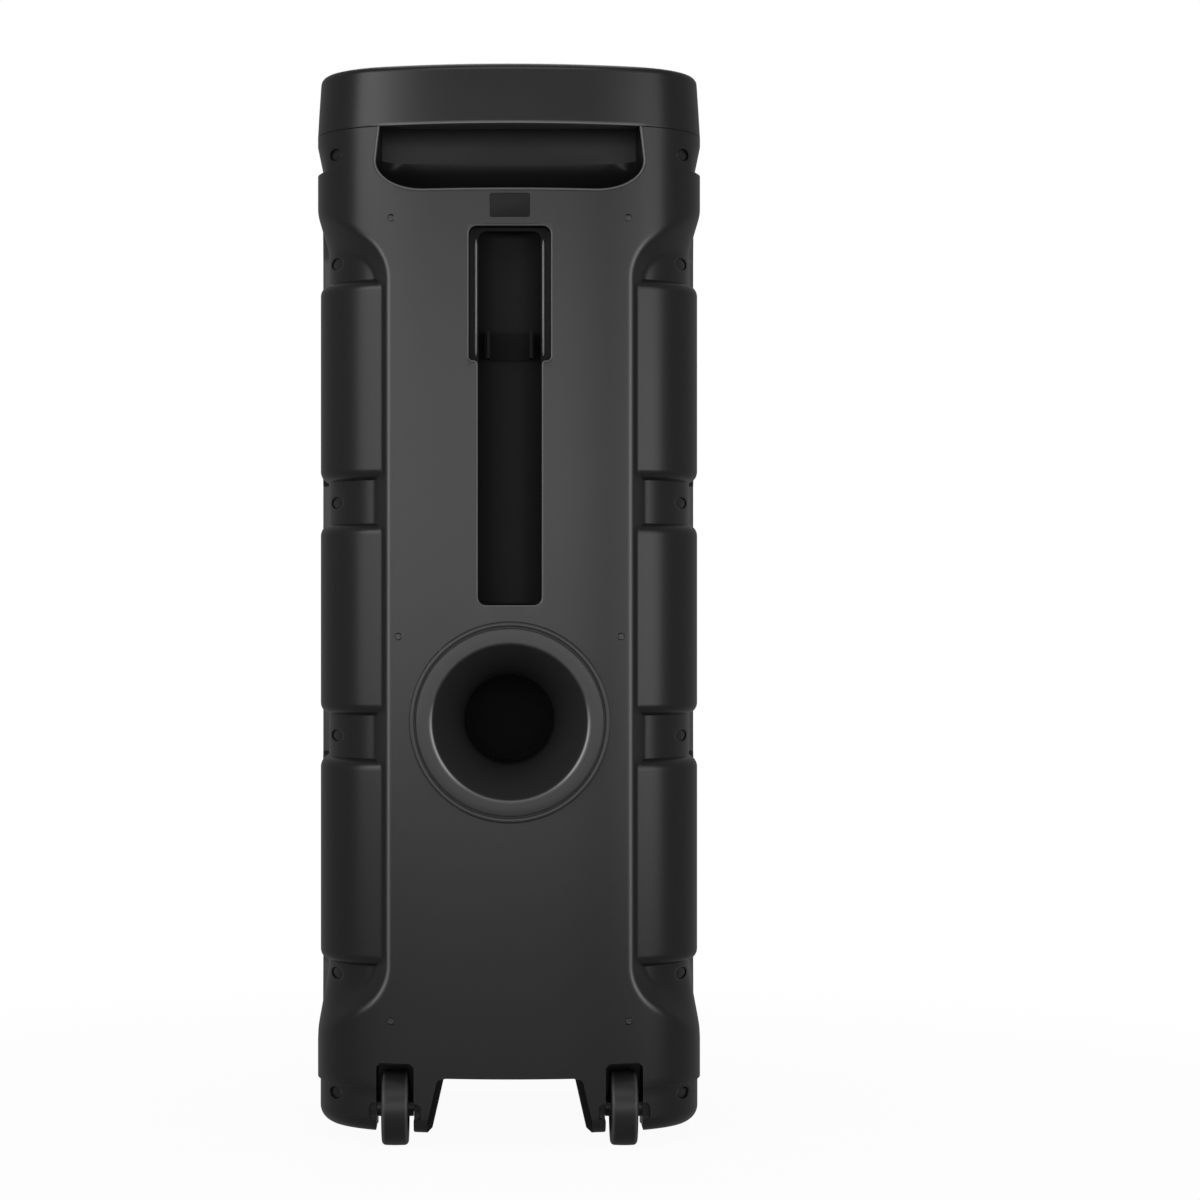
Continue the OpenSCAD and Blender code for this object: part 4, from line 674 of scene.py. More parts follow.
def dock_ribs():
    """Two low ribs on the floor of the head's recess, beside the trough: half round in section,
    tapering to a point at both ends. Their pale colour is a painted highlight along the trough's edges."""
    turn, thick, thin = np.radians(np.linspace(0, 180, 9)), 0.85, 0.2
    low, high, floor_y = HEAD_Z + 4, HEAD_Z + HEAD_H - 9, REAR_Y - HEAD_D - 0.1
    ribs = []
    for side in (-1, 1):
        x = side * (TROUGH_W / 2 + 1.4)
        rings = [ring_z(np.stack([x + size * np.cos(turn), floor_y + size * np.sin(turn)], -1), z)
                 for z, size in ((low, thin), (low + 3, thick), (high - 3, thick), (high, thin))]
        ribs.append(ring_stack(rings))
    return solid("dock_ribs", *ribs)


def blank_plate():
    """Thin bare plate that fills the shallow recess and follows the curved back."""
    profile = ((0.4, 1.3), (0.4, 0.7), (0.7, 0.4))
    return solid("blank_plate", ring_stack([set_back(blank_outline(inset), back) for inset, back in profile]))


# ---- Port and wheels ---------------------------------------------------------------------

def horn(grow, start, steps=28):
    """Radius and depth of the flare: the radius falls from the mouth to the throat as the power
    of the depth that is left."""
    t = np.linspace(start, 1, steps)
    radius = THROAT_R + grow + (MOUTH_R - THROAT_R) * (1 - t) ** FLARE_POWER
    return np.stack([radius, FLARE_L * t], -1).tolist()


def port_turned(name, profile):
    """Profile of (radius, depth) turned about the port's axis, from the back forwards."""
    return solid(name, revolve(profile, (0, PORT_BACK, PORT_Z), sign=-1, around=160))


def port_flare():
    """Turned profile: flat flange, tight round into the horn, straight tube, small inner flare,
    and the same way back outside the wall."""
    edge, bend, wall_r = FLANGE_R - 4.7, 2.2, THROAT_R + PORT_WALL
    profile = [(63.0, 0.0), (60.0, 0.0)] + arc((58.85, bend), bend, -90, -153, 8) + horn(0, 0.03)
    profile += [(THROAT_R, 100.0)] + arc((THROAT_R + 10, PORT_L - 14), 10, 180, 90, 8)[:6]
    profile += [(THROAT_R + 7, PORT_L - 3.5), (THROAT_R + 8, PORT_L - 0.5), (THROAT_R + 10.5, PORT_L - 0.5)]
    profile += [(wall_r + 1, PORT_L - 12), (wall_r, 100.0)] + horn(PORT_WALL, 0.14)[::-1]
    profile += [(MOUTH_R + PORT_WALL, 4.0), (edge, 4.0)] + arc((edge - 1.2, 1.2), 1.2, 0, -90, 4)
    return port_turned("port_flare", profile)


def port_collar():
    """Turned ring that holds the port's flange, with a rounded rear edge."""
    inside, low = FLANGE_R - 3.6, 11.4
    profile = [(MOUTH_R + PORT_WALL + 0.1, low), (MOUTH_R + PORT_WALL + 0.1, 4.02), (inside, 4.02)]
    profile += arc((inside + 1.1, 1.3), 1.1, 180, 270, 4) + arc((FLANGE_R - 1.6, 1.8), 1.6, 270, 360, 5)
    return port_turned("port_collar", profile + [(FLANGE_R, low)])


def port_shade_disc():
    """Thin near black disc across the port's straight tube: a sheet of painted shade that keeps the port's
    inside dark.
    """
    disc = circle(THROAT_R, 0, PORT_Z, 96)
    return solid("port_shade_disc", along_y(disc, PORT_BACK - 120.8, PORT_BACK - 120))


def tyre(name, side):
    """Turned profile: flat walls, round shoulders and a slightly crowned tread."""
    half, shoulder, crown = TYRE_W / 2, 3.2, 0.2
    wall_r, flat = WHEEL_R - shoulder - crown, half - shoulder
    wall = [(WHEEL_R - 7.5, 0.5 - half), (WHEEL_R - 6.2, -half), (wall_r - 0.2, -half)]
    wall += arc((wall_r, -flat), shoulder, -90, 0, 7)[1:]
    tread = [(WHEEL_R - crown * (c / flat) ** 2, c) for c in np.linspace(-flat, flat, 7)[1:-1]]
    profile = wall + tread + [(r, -c) for r, c in wall[::-1]]
    return solid(name, revolve(profile, (side * WHEEL_X, AXLE_Y, WHEEL_R), axis=0, around=144))


# ---- Front grille ------------------------------------------------------------------------

def grille_sheet():
    """Staggered six-sided cells that share their corners. A cell with a hole is a ring of
    quads between its edge and the hole's, in front and behind, joined by the hole's wall."""
    pitch, web, front, thick, middle = 7.6, 1.5, FRONT_Y + 5.0, 1.5, POCKET_Z + POCKET_H / 2
    half_w, half_h, hole_w, hole_h, rise = 120.0, 331.0, 112.5, 323.0, pitch * math.sqrt(3) / 2
    row = np.arange(-int(half_h / rise), int(half_h / rise) + 1)
    column = np.arange(-int(half_w / pitch), int(half_w / pitch) + 1)
    rr, cc = np.meshgrid(row, column, indexing="ij")
    cx, cz = (cc + 0.5 * (rr % 2)) * pitch, rr * rise
    keep = np.abs(cx) <= half_w
    cx, cz = cx[keep], cz[keep]
    corner = math.radians(30) + np.arange(6) * math.pi / 3
    ring = np.stack([np.cos(corner), np.sin(corner)], -1)
    centre = np.stack([cx, cz], -1)[:, None, :]
    outer = centre + ring * pitch / math.sqrt(3)
    has_hole = (np.abs(cx) <= hole_w) & (np.abs(cz) <= hole_h)
    inner = (centre + ring * (pitch - web) / math.sqrt(3))[has_hole]
    key, index = np.unique(np.round(outer.reshape(-1, 2), 2), axis=0, return_inverse=True)
    index = index.reshape(-1, 6)
    flat = np.concatenate([key, inner.reshape(-1, 2)]) + [0, middle]
    points = np.concatenate([ring_y(flat, front), ring_y(flat, front + thick)])
    n, back = len(key), len(flat)
    a, b = index[has_hole], np.roll(index[has_hole], -1, 1)
    c = n + np.arange(inner.shape[0] * 6).reshape(-1, 6)
    d = np.roll(c, -1, 1)
    edges = np.stack([index, np.roll(index, -1, 1)], -1).reshape(-1, 2)
    _, first, count = np.unique(edges.min(1) * n + edges.max(1), return_index=True, return_counts=True)
    p, q = edges[first[count == 1]].T
    bands = ((a, b, d, c), (b + back, a + back, c + back, d + back), (c, d, d + back, c + back),
             (q, p, p + back, q + back))
    faces = [face for band in bands for face in np.stack(band, -1).reshape(-1, 4).tolist()]
    whole = index[~has_hole]
    faces += whole.tolist() + (whole[:, ::-1] + back).tolist()
    return solid("grille_sheet", (points, faces), sharp=20)


# ---- Controls ----------------------------------------------------------------------------

def knob(name, x, y, radius, top, ridges, around=360):
    """Turned profile with a dished top. Round the skirt the radius falls and rises with the
    cosine of a whole number of turns, as finger ridges."""
    low, shaft, shaft_low = PANEL_TOP + 0.5, 3.0, BOARD_Z + 3.1
    dish = ((0.0, 0.9), (0.3, 0.85), (0.62, 0.7), (0.76, 0.35))
    profile = [(radius * share, top - depth) for share, depth in dish]
    profile += arc((radius * 0.82, top - 0.5), 0.5, 110, 60, 3)
    profile += arc((radius - 1.6, top - 1.6), 1.6, 80, 0, 5) + [(radius, low + 3.0), (radius, low + 0.9)]
    profile += [(radius - 0.7, low), (shaft, low), (shaft, shaft_low), (0.0, shaft_low)]
    points, faces = revolve(profile, (0, 0, 0), axis=2, around=around, closed=False)
    r, z = np.asarray(profile).T
    ridge = 0.35 / radius * (1 + np.cos(ridges * np.linspace(0, 2 * math.pi, around, endpoint=False)))
    scale = 1 - ((r > radius - 1.0) & (z < top - 0.8))[:, None] * ridge
    points[:, :2] = points[:, :2] * scale.reshape(-1, 1) + [x, y]
    return solid(name, (points, faces))


def key_cap(name, x, y, radius, top, low):
    """Turned profile: flange under the panel, straight side, rounded edge and a shallow dish."""
    profile = [(0.0, top - 0.45), (radius * 0.5, top - 0.36), (radius * 0.8, top - 0.1)]
    profile += arc((radius - 1.1, top - 1.1), 1.1, 90, 0, 5)
    profile += [(radius, low + 1.5), (radius + 1.5, low + 1.5), (radius + 1.5, low), (0.0, low)]
    return solid(name, revolve(profile, (x, y, 0), axis=2, around=96, closed=False))


def stroke(path, width, low, high, closed=False):
    """Band of even width along a flat path, from one height to another: each point is moved by
    half the width to either side, along the normal of the path there."""
    path = np.asarray(path, float)
    step = np.roll(path, -1, 0) - np.roll(path, 1, 0) if closed else np.gradient(path, axis=0)
    normal = np.stack([-step[:, 1], step[:, 0]], -1) / np.linalg.norm(step, axis=1)[:, None]
    left, right = path + normal * width / 2, path - normal * width / 2
    section = [ring_z(left, low), ring_z(right, low), ring_z(right, high), ring_z(left, high)]
    n = len(path)
    faces = grid_quads(n, 4, close_u=True, close_v=closed)
    if not closed:
        faces += [[3, 2, 1, 0], [4 * n - 4, 4 * n - 3, 4 * n - 2, 4 * n - 1]]
    return np.stack(section, 1).reshape(-1, 3), faces


def circle_path(r, start=0.0, end=360.0, x=0.0):
    """Path round a circle's centre at x, and whether it closes."""
    a, closed = np.radians(np.linspace(start, end, 37)), end - start >= 360
    a = a[:-1] if closed else a
    return np.stack([x + r * np.cos(a), r * np.sin(a)], -1), closed


def line_path(start, end):
    """Open straight path of four points."""
    start, end = np.asarray(start, float), np.asarray(end, float)
    return start + (end - start) * np.linspace(0, 1, 4)[:, None], False


RAYS = [(math.cos(a), math.sin(a)) for a in np.radians(np.arange(0, 360, 45))]
SIGNS = {
    "power": [circle_path(2.7, 125, 415), line_path((0, 1.2), (0, 3.9))],
    "source": [line_path((0.2, 2.8), (3, 2.8)), line_path((3, 3.1), (3, -3.1)),
               line_path((3, -2.8), (0.2, -2.8)), line_path((-3.4, 0), (1, 0)),
               line_path((-0.6, 1.4), (1, 0)), line_path((-0.6, -1.4), (1, 0))],
    "light": [circle_path(1.5)] + [line_path((2.5 * c, 2.5 * s), (3.7 * c, 3.7 * s)) for c, s in RAYS],
    "bass": [circle_path(r, -50, 50, -2.4) for r in (1.6, 3.2, 4.8)],
    "play": [line_path((-1.8, -2.5), (-1.8, 2.5)), line_path((-2.0, 2.4), (2.7, 0)),
             line_path((2.7, 0), (-2.0, -2.4))],
    "pair": [circle_path(1.9, x=x) for x in (-1.4, 1.4)],
}


def sign(name, kind, x, y, top):
    """Raised pictogram of thin strokes on a key."""
    strokes = [stroke(path + [x, y], 0.6, top - 0.9, top - 0.22, closed) for path, closed in SIGNS[kind]]
    return solid(name, *strokes)


def dial_marks():
    """Short radial strokes round the dials, from an eighth turn left of the bottom to right. The
    first, middle and last are longer."""
    strokes, dials = [], ((0, 6, 31.5, 31, 3.0), (-92, -38, 12.5, 11, 1.8), (-60, -38, 12.5, 11, 1.8))
    for x, y, r, count, length in dials:
        for k, t in enumerate(np.radians(np.linspace(-135, 135, count))):
            far = r + length * (1.5 if k % ((count - 1) // 2) == 0 else 1.0)
            away, base = np.array([math.sin(t), math.cos(t)]), np.array([x, PANEL_Y + y])
            path, closed = line_path(base + r * away, base + far * away)
            strokes.append(stroke(path, 0.6, PANEL_TOP - 0.3, PANEL_TOP + 0.08, closed))
    return solid("dial_marks", *strokes)


# ---- Shader helpers ----------------------------------------------------------------------

def new_tree(owner, output):
    """Empty node tree of a material or world, with its output node."""
    owner.use_nodes = True
    owner.node_tree.nodes.clear()
    return owner.node_tree, owner.node_tree.nodes.new(output)


def feed(tree, value, socket):
    """Links another node's output to a socket, or sets the socket to a constant."""
    if isinstance(value, bpy.types.NodeSocket):
        tree.links.new(value, socket)
    else:
        socket.default_value = value


def node_with(tree, kind, **values):
    """New shader node with its named inputs fed."""
    node = tree.nodes.new("ShaderNode" + kind)
    for name, value in values.items():
        feed(tree, value, node.inputs[name.replace("_", " ")])
    return node


def math_node(tree, operation, a, b):
    """Output of a maths node with two inputs, each another node's output or a constant."""
    node = tree.nodes.new("ShaderNodeMath")
    node.operation = operation
    feed(tree, a, node.inputs[0])
    feed(tree, b, node.inputs[1])
    return node.outputs[0]


def mix(tree, share, a, b, colour=False):
    """a where the share is 0 and b where it is 1, as numbers or as colours."""
    node = tree.nodes.new("ShaderNodeMix")
    node.data_type = "RGBA" if colour else "FLOAT"
    first = 6 if colour else 2
    feed(tree, share, node.inputs[0])
    feed(tree, a, node.inputs[first])
    feed(tree, b, node.inputs[first + 1])
    return node.outputs[2 if colour else 0]


def colour_of(value, tint=0.0):
    """Colour socket's value from three numbers, or from one for a grey, a little bluer by tint."""
    if isinstance(value, float):
        value = (value, value * (1 + 0.3 * tint), value * (1 + tint))
    return (*value, 1)


def surface_group():
    """Moulded surface: fine grain and slow drift, each from its own noise on object
    coordinates. Gives a shade between 0 and 1 and a height for a bump."""
    tree = bpy.data.node_groups.new("moulded_surface", "ShaderNodeTree")
    for name, value in (("Grain Size", 0.4), ("Drift Size", 60.0), ("Drift", 0.5)):
        socket = tree.interface.new_socket(name, in_out="INPUT", socket_type="NodeSocketFloat")
        socket.default_value = value
    for name in ("Shade", "Height"):
        tree.interface.new_socket(name, in_out="OUTPUT", socket_type="NodeSocketFloat")
    enter, leave = tree.nodes.new("NodeGroupInput"), tree.nodes.new("NodeGroupOutput")
    place = tree.nodes.new("ShaderNodeTexCoord").outputs["Object"]

    def noise(size, detail):
        scale = math_node(tree, "DIVIDE", 1 / MM, enter.outputs[size])
        return node_with(tree, "TexNoise", Vector=place, Scale=scale, Detail=detail).outputs["Fac"]

    grain, drift = noise("Grain Size", 2.0), noise("Drift Size", 3.0)
    feed(tree, mix(tree, enter.outputs["Drift"], grain, drift), leave.inputs["Shade"])
    feed(tree, grain, leave.inputs["Height"])
    return tree


SURFACE = surface_group()


def finish_material(name, dark, light, rough=(0.4, 0.5), grain=0.4, drift=60.0, bump=0.15,
                    metallic=0.0, coat=0.0, specular=0.5, edge=None, tint=0.0):
    """Plain moulded, painted or metal finish: colour and roughness drift a little over the
    piece, and a fine grain lifts its normal. Where the edge attribute is 1 the colour is the
    paler one of a painted edge highlight."""
    material = bpy.data.materials.new(name)
    tree, out = new_tree(material, "ShaderNodeOutputMaterial")
    group = tree.nodes.new("ShaderNodeGroup")
    group.node_tree = SURFACE
    for socket, value in (("Grain Size", grain), ("Drift Size", drift), ("Drift", 0.6)):
        group.inputs[socket].default_value = value
    shade = group.outputs["Shade"]
    colour = mix(tree, shade, colour_of(dark, tint), colour_of(light, tint), colour=True)
    # The edge colour is a painted highlight, mixed in where the edge attribute is 1.
    if edge:
        mark = tree.nodes.new("ShaderNodeAttribute")
        mark.attribute_name = "edge"
        colour = mix(tree, mark.outputs["Fac"], colour, colour_of(edge), colour=True)
    shader = node_with(tree, "BsdfPrincipled", Base_Color=colour, Roughness=mix(tree, shade, *rough),
                       Metallic=metallic, Coat_Weight=coat, Coat_Roughness=0.15, Specular_IOR_Level=specular)
    if bump:
        lift = node_with(tree, "Bump", Strength=bump, Distance=0.0001, Height=group.outputs["Height"])
        feed(tree, lift.outputs[0], shader.inputs["Normal"])
    feed(tree, shader.outputs[0], out.inputs[0])
    return material


# ---- Finishes ----------------------------------------------------------------------------

# edge: colour of the painted highlight on the spine's edge, the cap's lower edge and the lips.
CABINET = finish_material("cabinet_plastic", 0.0070, 0.0085, (0.27, 0.32), 0.45, 80, 0.1,
                          specular=0.4, edge=0.090, tint=.02)
LINER = finish_material("liner_plastic", 0.0060, 0.0075, (0.34, 0.40), 0.4, 50, 0.1, specular=0.3, tint=.02)
DOCK = finish_material("dock_plastic", 0.0060, 0.0075, (0.52, 0.60), 0.4, 50, specular=0.10, tint=.02)
# Pale: the ribs carry a painted highlight along the edges of the dock's trough.
RIB_HIGHLIGHT = finish_material("rib_painted_highlight", 0.13, 0.15, (0.30, 0.36), 0.4, 20, 0.05)
# Near black and dull: painted shade for the arch's inner walls.
ARCH_SHADE = finish_material("arch_painted_shade", 0.003, 0.004, (0.6, 0.7), 0.4, 50, 0.1, specular=0.04)
CLIP = finish_material("clip_plastic", 0.0045, 0.006, (0.5, 0.6), 0.4, 20, 0.1, specular=0.06)
# Near black matt disc in the port: painted shade.
PORT_SHADE = finish_material("port_shade_disc", 0.005, 0.008, (0.8, 0.9), 0.6, 10, 0.4, specular=0.1)
PLATE = finish_material("blank_plate", 0.0060, 0.0075, (0.55, 0.62), 0.4, 20, 0.1, specular=0.2, tint=.02)
# edge: colour of the painted highlight on the port's mouth.
PORT = finish_material("port_plastic", 0.0170, 0.0200, (0.34, 0.39), 0.4, 60, 0.1,
                       specular=0.41, edge=0.22, tint=.02)
# edge: colour of the painted highlight on the tyre shoulders.
RUBBER = finish_material("tyre_rubber", 0.008, 0.011, (0.36, 0.44), 0.6, 20, 0.2, specular=0.35, edge=0.045)
HUB = finish_material("hub_plastic", 0.007, 0.010, (0.35, 0.45), specular=0.35)
STEEL = finish_material("ground_steel", 0.45, 0.55, (0.25, 0.38), 0.3, 10, 0.05, metallic=1.0)
BLACK_STEEL = finish_material("black_screw", 0.05, 0.08, (0.35, 0.5), 0.3, 6, 0.1, metallic=0.8)
AXLE = finish_material("axle_steel", 0.02, 0.03, (0.4, 0.5), 0.3, 6, 0.1, metallic=0.6)
GRILLE = finish_material("grille_paint", 0.018, 0.024, (0.35, 0.45), 0.3, 40, 0.2)
FRAME = finish_material("frame_plastic", 0.02, 0.025, (0.25, 0.32), 0.4, 60, 0.05, coat=0.3)
BOARD = finish_material("baffle_board", 0.02, 0.035, (0.7, 0.85), 0.8, 12, 0.4)
DIFFUSER = finish_material("light_diffuser", 0.62, 0.70, (0.3, 0.4), 0.5, 30, 0.05, tint=.05)
CIRCUIT = finish_material("circuit_board", (0.01, 0.09, 0.03), (0.015, 0.13, 0.05), (0.3, 0.45), 0.5, 4, 0.2)
BASKET = finish_material("basket_paint", 0.010, 0.014, (0.45, 0.55), 0.4, 20)
MAGNET = finish_material("magnet_steel", 0.020, 0.032, (0.5, 0.6), 0.5, 12, 0.2, metallic=0.2)
PAPER = finish_material("cone_paper", 0.022, 0.034, (0.6, 0.75), 0.7, 8, 0.6)
COPPER = finish_material("coil_copper", (0.6, 0.28, 0.14), (0.75, 0.38, 0.2), (0.25, 0.35), 0.2, 5, 0.3,
                         metallic=1.0)
SURROUND = finish_material("surround_rubber", 0.016, 0.022, (0.35, 0.45), 0.5, 20, 0.1)
SPIDER = finish_material("spider_cloth", (0.38, 0.26, 0.08), (0.5, 0.36, 0.14), (0.8, 0.9), 0.6, 6, 0.6)
ALUMINIUM = finish_material("aluminium", 0.5, 0.62, (0.3, 0.45), 0.4, 12, 0.1, metallic=1.0)
WRAP = finish_material("battery_wrap", (0.01, 0.04, 0.22), (0.02, 0.06, 0.3), (0.25, 0.35), 0.5, 30, 0.05)
PANEL = finish_material("panel_plastic", 0.014, 0.018, (0.22, 0.3), 0.4, 60, 0.04, coat=0.2)
KNOB = finish_material("knob_plastic", 0.03, 0.038, (0.32, 0.4), 0.4, 20, 0.1)
KEY = finish_material("key_rubber", 0.05, 0.065, (0.5, 0.6), 0.4, 8, 0.2)
GLASS = finish_material("display_glass", 0.006, 0.009, (0.06, 0.1), 0.4, 60, 0.0, coat=0.6)
SOCKET = finish_material("socket_plastic", 0.02, 0.028, (0.35, 0.45), 0.4, 20, 0.1)
PRINT = finish_material("pale_print", 0.55, 0.62, (0.4, 0.5), 0.3, 6, 0.05)

NODE_FINISHES = (
    (CABINET, "rear_housing front_housing top_cap"), (LINER, "handle_cup tweeter_horn"),
    (DOCK, "mic_dock"), (CLIP, "mic_clip"), (PORT, "port_tube port_ring"),
    (RUBBER, "wheel_left_tyre wheel_right_tyre front_feet driver_gaskets"),
    (HUB, "wheel_left_hub wheel_right_hub"), (AXLE, "wheel_axles"), (BLACK_STEEL, "rear_screws side_screws"),
    (GRILLE, "front_grille"), (FRAME, "grille_frame"), (BOARD, "baffle"), (DIFFUSER, "light_rings"),
    (STEEL, "driver_screws baffle_screws"), (BASKET, "woofer_low_frame woofer_top_frame"),
    (MAGNET, "woofer_low_magnet woofer_top_magnet tweeter_magnet"),
    (PAPER, "woofer_low_cone woofer_top_cone"), (COPPER, "woofer_low_coil woofer_top_coil"),
    (SURROUND, "woofer_low_surround woofer_top_surround"), (SPIDER, "woofer_low_spider woofer_top_spider"),
    (ALUMINIUM, "tweeter_diaphragm electronics_tray heatsink"), (WRAP, "battery_pack"),
    (CIRCUIT, "led_boards amplifier_board power_board control_board"),
    (SOCKET, "mains_inlet input_sockets"), (PANEL, "control_panel"), (GLASS, "display_window"),
    (KNOB, "volume_knob echo_knob mic_knob"),
    (KEY, "button_power button_source button_light button_bass button_play button_pair"),
)
for look, names in NODE_FINISHES:
    for name in names.split():
        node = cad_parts[name]
        for slot in node.material_slots:
            slot.material = look
        if not node.material_slots:
            node.data.materials.append(look)


# ---- Painted edge highlights -------------------------------------------------------------

def places(piece):
    """The piece's points in millimetres."""
    points = np.zeros(3 * len(piece.data.vertices))
    piece.data.vertices.foreach_get("co", points)
    return points.reshape(-1, 3) / MM


def bell(distance, width):
    """Bell curve: e to the power of minus the square of distance over width."""
    return np.exp(-(distance / width) ** 2)


def set_painted_highlight(piece, edge):
    """Stores the edge attribute, the share of painted highlight, one number for each point."""
    piece.data.attributes.new("edge", "FLOAT", "POINT").data.foreach_set("value", edge)


def line_distance(points, outline):
    """Distance in X and Z from each point to the nearest side of a closed outline."""
    side = np.roll(outline, -1, 0) - outline
    away = points[:, None, ::2] - outline
    share = np.clip(np.sum(away * side, -1) / np.sum(side * side, -1), 0, 1)
    return np.linalg.norm(away - share[..., None] * side, axis=-1).min(1)


def paint_shell_highlights(piece):
    """Painted highlight in the edge attribute of the rear shell: a bell curve of the distance from the
    spine's edge that fades along the flares, and 1 on the quarter round lips of the hand-hold and the dock."""
    points = places(piece)
    x, y, z = points.T
    edge = bell(inside_distance(x, z) + 1.5, 1.1) * (y > 75) * (1 - smooth_ramp(np.abs(x), 94, 116))
    near = np.flatnonzero((np.abs(x) < 110) & (y > 75) & (z > 380))
    for outline, radius in ((hand_ring(0, CAP_Z + 3), LIP_HAND), (dock_ring(0), LIP_DOCK)):
        outline = outline[np.any(outline != np.roll(outline, -1, 0), axis=1)]
        share = line_distance(points[near], outline) / radius
        edge[near] = np.maximum(edge[near], (share > 0.02) & (share < 0.6))
    set_painted_highlight(piece, edge)


def paint_cap_highlight(piece):
    """Painted highlight in the edge attribute of the cap: a bell curve of the height above the grip's lower
    edge.
    """
    x, y, z = places(piece).T
    set_painted_highlight(piece, bell(z - CAP_Z - 0.9, 0.8) * (y > 100) * (1 - smooth_ramp(np.abs(x), 92, 100)))


def paint_port_highlight(piece):
    """Painted highlight in the edge attribute of the port: a bell curve of the radius at the mouth's
    edge, on both sides below the middle, fading towards the bottom."""
    x, y, z = places(piece).T
    radius = np.hypot(x, z - PORT_Z)
    fall = (PORT_Z - z) / np.maximum(radius, 1)
    spread = smooth_ramp(fall, -0.35, 0.15) * (1 - 0.8 * smooth_ramp(fall, 0.5, 0.95))
    set_painted_highlight(piece, bell(radius - 58.0, 0.8) * spread * (y > PORT_BACK - 4))


def paint_tyre_highlights(piece, side):
    """Painted highlight in the edge attribute of a tyre: a bell curve of the distance from the middle of each
    shoulder.
    """
    x, y, z = places(piece).T
    across = np.abs(x - side * WHEEL_X) - TYRE_W / 2 + 1.4
    set_painted_highlight(piece, bell(across, 0.9) * (np.hypot(y - AXLE_Y, z - WHEEL_R) > WHEEL_R - 3))


def shade_arch_walls(piece):
    """Second material, near black painted shade, on the two inner walls of the arch, found by
    where they are and by their normals, which point to the middle."""
    faces = piece.data.polygons
    middle, normal = np.zeros(3 * len(faces)), np.zeros(3 * len(faces))
    faces.foreach_get("center", middle)
    faces.foreach_get("normal", normal)
    x, y, z = middle.reshape(-1, 3).T / MM
    inner = (np.abs(x) > 45) & (np.abs(x) < 62) & (y > 60) & (z < FLOOR_Z - 0.5)
    piece.data.materials.append(ARCH_SHADE)
    faces.foreach_set("material_index", (inner & (normal[::3] * np.sign(x) < -0.6)).astype(int))


# ---- Pieces ------------------------------------------------------------------------------

def finish(piece, material, body="cabinet", replaces=()):
    """Gives a piece its material, in a slot of its own, and its body, and hides the CAD nodes that it stands
    for.
    """
    piece.data.materials.clear()
    piece.data.materials.append(material)
    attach(piece, body)
    if replaces:
        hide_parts(*replaces)


shell = rear_housing()
paint_shell_highlights(shell)
finish(shell, CABINET, replaces=["rear_housing"])
shade_arch_walls(shell)
finish(front_shell(), CABINET, replaces=["front_housing"])
cap = cap_shell()
paint_cap_highlight(cap)
finish(cap, CABINET, replaces=["top_cap"])
finish(hand_liner(), LINER, replaces=["handle_cup"])
finish(dock_insert(), DOCK, replaces=["mic_dock"])
finish(well_plugs(), CABINET)
finish(dock_ribs(), RIB_HIGHLIGHT)
finish(blank_plate(), PLATE)
flare = port_flare()
paint_port_highlight(flare)
finish(flare, PORT, replaces=["port_tube"])
finish(port_collar(), PORT, replaces=["port_ring"])
finish(port_shade_disc(), PORT_SHADE)
for side, name in ((-1, "left"), (1, "right")):
    tread = tyre("tyre_" + name, side)
    paint_tyre_highlights(tread, side)
    finish(tread, RUBBER, "wheel_" + name, ["wheel_%s_tyre" % name])
finish(grille_sheet(), GRILLE, replaces=["front_grille"])

KNOB_TOP, KEY_TOP, KEY_LOW, KEY_R, KEY_Y = HEIGHT - 0.6, PANEL_TOP + 2.5, HEIGHT - 17.8, 8.0, PANEL_Y + 6
KNOBS = (("volume", 0.0, 6.0, 28.0, 48), ("echo", -92.0, -38.0, 10.0, 20), ("mic", -60.0, -38.0, 10.0, 20))
for name, x, y, radius, ridges in KNOBS:
    y += PANEL_Y
    dial = knob(name + "_cap", x, y, radius, KNOB_TOP, ridges)
    finish(dial, KNOB, name + "_dial", [name + "_knob"])
    path, closed = line_path((x, y + 0.42 * radius), (x, y + 0.72 * radius))
    mark = solid(name + "_mark", stroke(path, 0.07 * radius, KNOB_TOP - 1.2, KNOB_TOP - 0.35, closed))
    finish(mark, PRINT, name + "_dial")
for name, x in zip(SIGNS, (-95, -72, -49, 49, 72, 95)):
    key = key_cap(name + "_cap", x, KEY_Y, KEY_R, KEY_TOP, KEY_LOW)
    finish(key, KEY, name + "_key", ["button_" + name])
    finish(sign(name + "_sign", name, x, KEY_Y, KEY_TOP), PRINT, name + "_key")
finish(dial_marks(), PRINT)


# ---- Stage, light and camera -------------------------------------------------------------

MIRROR_SHARE = 0.20      # how much of the white background a mirror ray meets
SKY_LIGHT = 0.5          # strength of the world for every other ray
FLOOR_GREY = 0.55


def ray_masks(tree):
    """From the kind of ray: seen by the camera or through glass, met by a mirror, and how much
    of the white background each ray meets."""
    path = tree.nodes.new("ShaderNodeLightPath")
    seen = math_node(tree, "MAXIMUM", path.outputs["Is Camera Ray"], path.outputs["Is Transmission Ray"])
    mirrored = path.outputs["Is Glossy Ray"]
    direct = math_node(tree, "MAXIMUM", seen, math_node(tree, "MULTIPLY", mirrored, MIRROR_SHARE))
    return seen, mirrored, direct


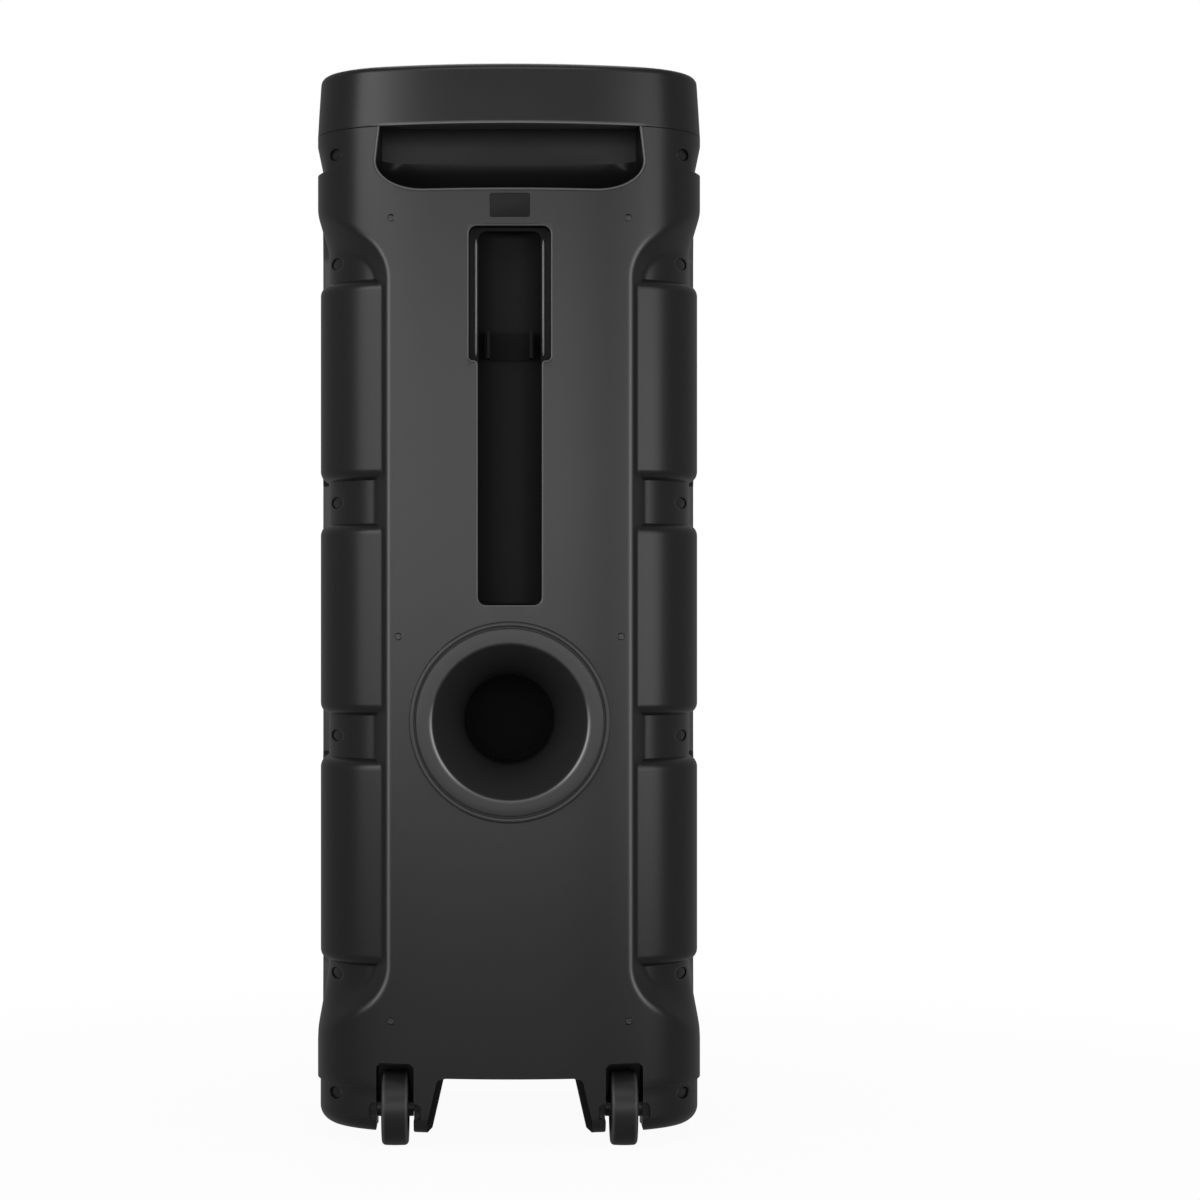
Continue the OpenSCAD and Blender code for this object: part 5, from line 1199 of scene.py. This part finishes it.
def stage_material():
    """White to the camera, plain pale matt to all other light. Near the object a little of the
    matt shows to the camera too, so that the floor keeps the shadow."""
    material = bpy.data.materials.new("pale_ground")
    tree, out = new_tree(material, "ShaderNodeOutputMaterial")
    seen, mirrored, direct = ray_masks(tree)
    matt = node_with(tree, "BsdfDiffuse", Color=(FLOOR_GREY, FLOOR_GREY, FLOOR_GREY, 1))
    white = node_with(tree, "Emission", Color=(1, 1, 1, 1), Strength=direct)
    reach = tree.nodes.new("ShaderNodeVectorMath")
    reach.operation = "LENGTH"
    feed(tree, tree.nodes.new("ShaderNodeTexCoord").outputs["Object"], reach.inputs[0])
    fade = node_with(tree, "MapRange", Value=reach.outputs["Value"],
                     From_Min=0.25, From_Max=1.1, To_Min=0.95, To_Max=1.0)
    fade.interpolation_type = "SMOOTHSTEP"
    shown = math_node(tree, "MULTIPLY", seen, fade.outputs["Result"])
    both = tree.nodes.new("ShaderNodeMixShader")
    feed(tree, math_node(tree, "MAXIMUM", shown, mirrored), both.inputs[0])
    feed(tree, matt.outputs[0], both.inputs[1])
    feed(tree, white.outputs[0], both.inputs[2])
    feed(tree, both.outputs[0], out.inputs[0])
    return material


def ground(around=64):
    """Large disc on the floor: rings of points round the middle."""
    rings = [(r, 0) for r in (300, 900, 2500, 9000)]
    points, faces = revolve(rings, (0, 0, 0), axis=2, around=around, closed=False)
    faces += [[k, (k + 1) % around, len(points)] for k in range(around)]
    piece = make_mesh("floor", np.concatenate([points, [[0, 0, 0]]]), faces)
    piece.data.materials.append(stage_material())


def studio_world():
    """White to the camera and through glass, and a plain dimmer sky for the rest."""
    world = bpy.data.worlds.new("studio")
    bpy.context.scene.world = world
    tree, out = new_tree(world, "ShaderNodeOutputWorld")
    direct = ray_masks(tree)[2]
    spread = math_node(tree, "MULTIPLY", math_node(tree, "LESS_THAN", direct, MIRROR_SHARE / 2), SKY_LIGHT)
    sky = node_with(tree, "Background", Color=(1, 1, 1, 1),
                    Strength=math_node(tree, "MAXIMUM", direct, spread))
    feed(tree, sky.outputs[0], out.inputs[0])


def soft_box(name, place, aim, size, radiance):
    """Area lamp that the camera doesn't see; its power follows from its area and radiance."""
    light = bpy.data.lights.new(name, "AREA")
    light.shape = "RECTANGLE"
    light.size, light.size_y = size
    light.energy = 4 * size[0] * size[1] * radiance
    lamp = bpy.data.objects.new(name, light)
    bpy.context.scene.collection.objects.link(lamp)
    lamp.location = place
    lamp.rotation_euler = (Vector(aim) - Vector(place)).to_track_quat("-Z", "Y").to_euler()
    lamp.visible_camera = False


def rear_camera():
    """Camera behind the speaker, level and square to the back."""
    camera = bpy.data.cameras.new("camera")
    camera.lens, camera.sensor_width = 94.1, 36.0
    camera.shift_x, camera.shift_y = 0.0956, 0.0033
    camera.clip_end = 50.0
    view = bpy.data.objects.new("camera", camera)
    bpy.context.scene.collection.objects.link(view)
    view.location = (0.018, 2.45, 0.402)
    view.rotation_euler = (math.radians(90), 0, math.radians(180))
    bpy.context.scene.camera = view


ground()
studio_world()
soft_box("back_box", (0.3, 2.95, 0.63), (0.3, 0.1, 0.63), (3.3, 1.0), 2.0)
soft_box("left_low_box", (1.84, 1.60, 0.55), (0, 0.1, 0.55), (1.6, 0.8), 1.35)
soft_box("left_high_box", (1.84, 1.60, 1.60), (0, 0.1, 1.50), (1.6, 1.2), 2.3)
soft_box("right_low_box", (-1.84, 1.60, 0.45), (0, 0.1, 0.45), (1.6, 0.9), 1.8)
soft_box("right_high_box", (-1.84, 1.60, 1.35), (0, 0.1, 1.30), (1.6, 0.9), 1.15)
soft_box("high_box", (0.0, 1.90, 2.30), (0, 0.15, 0.6), (2.0, 0.8), 1.7)
soft_box("front_box", (0.0, -1.9, 2.4), (0, -0.15, 0.5), (1.4, 1.2), 2.0)
soft_box("top_box", (0.0, -0.3, 2.8), (0, 0, 0.8), (1.6, 1.2), 1.2)
rear_camera()
bpy.context.scene.view_settings.view_transform = "Standard"
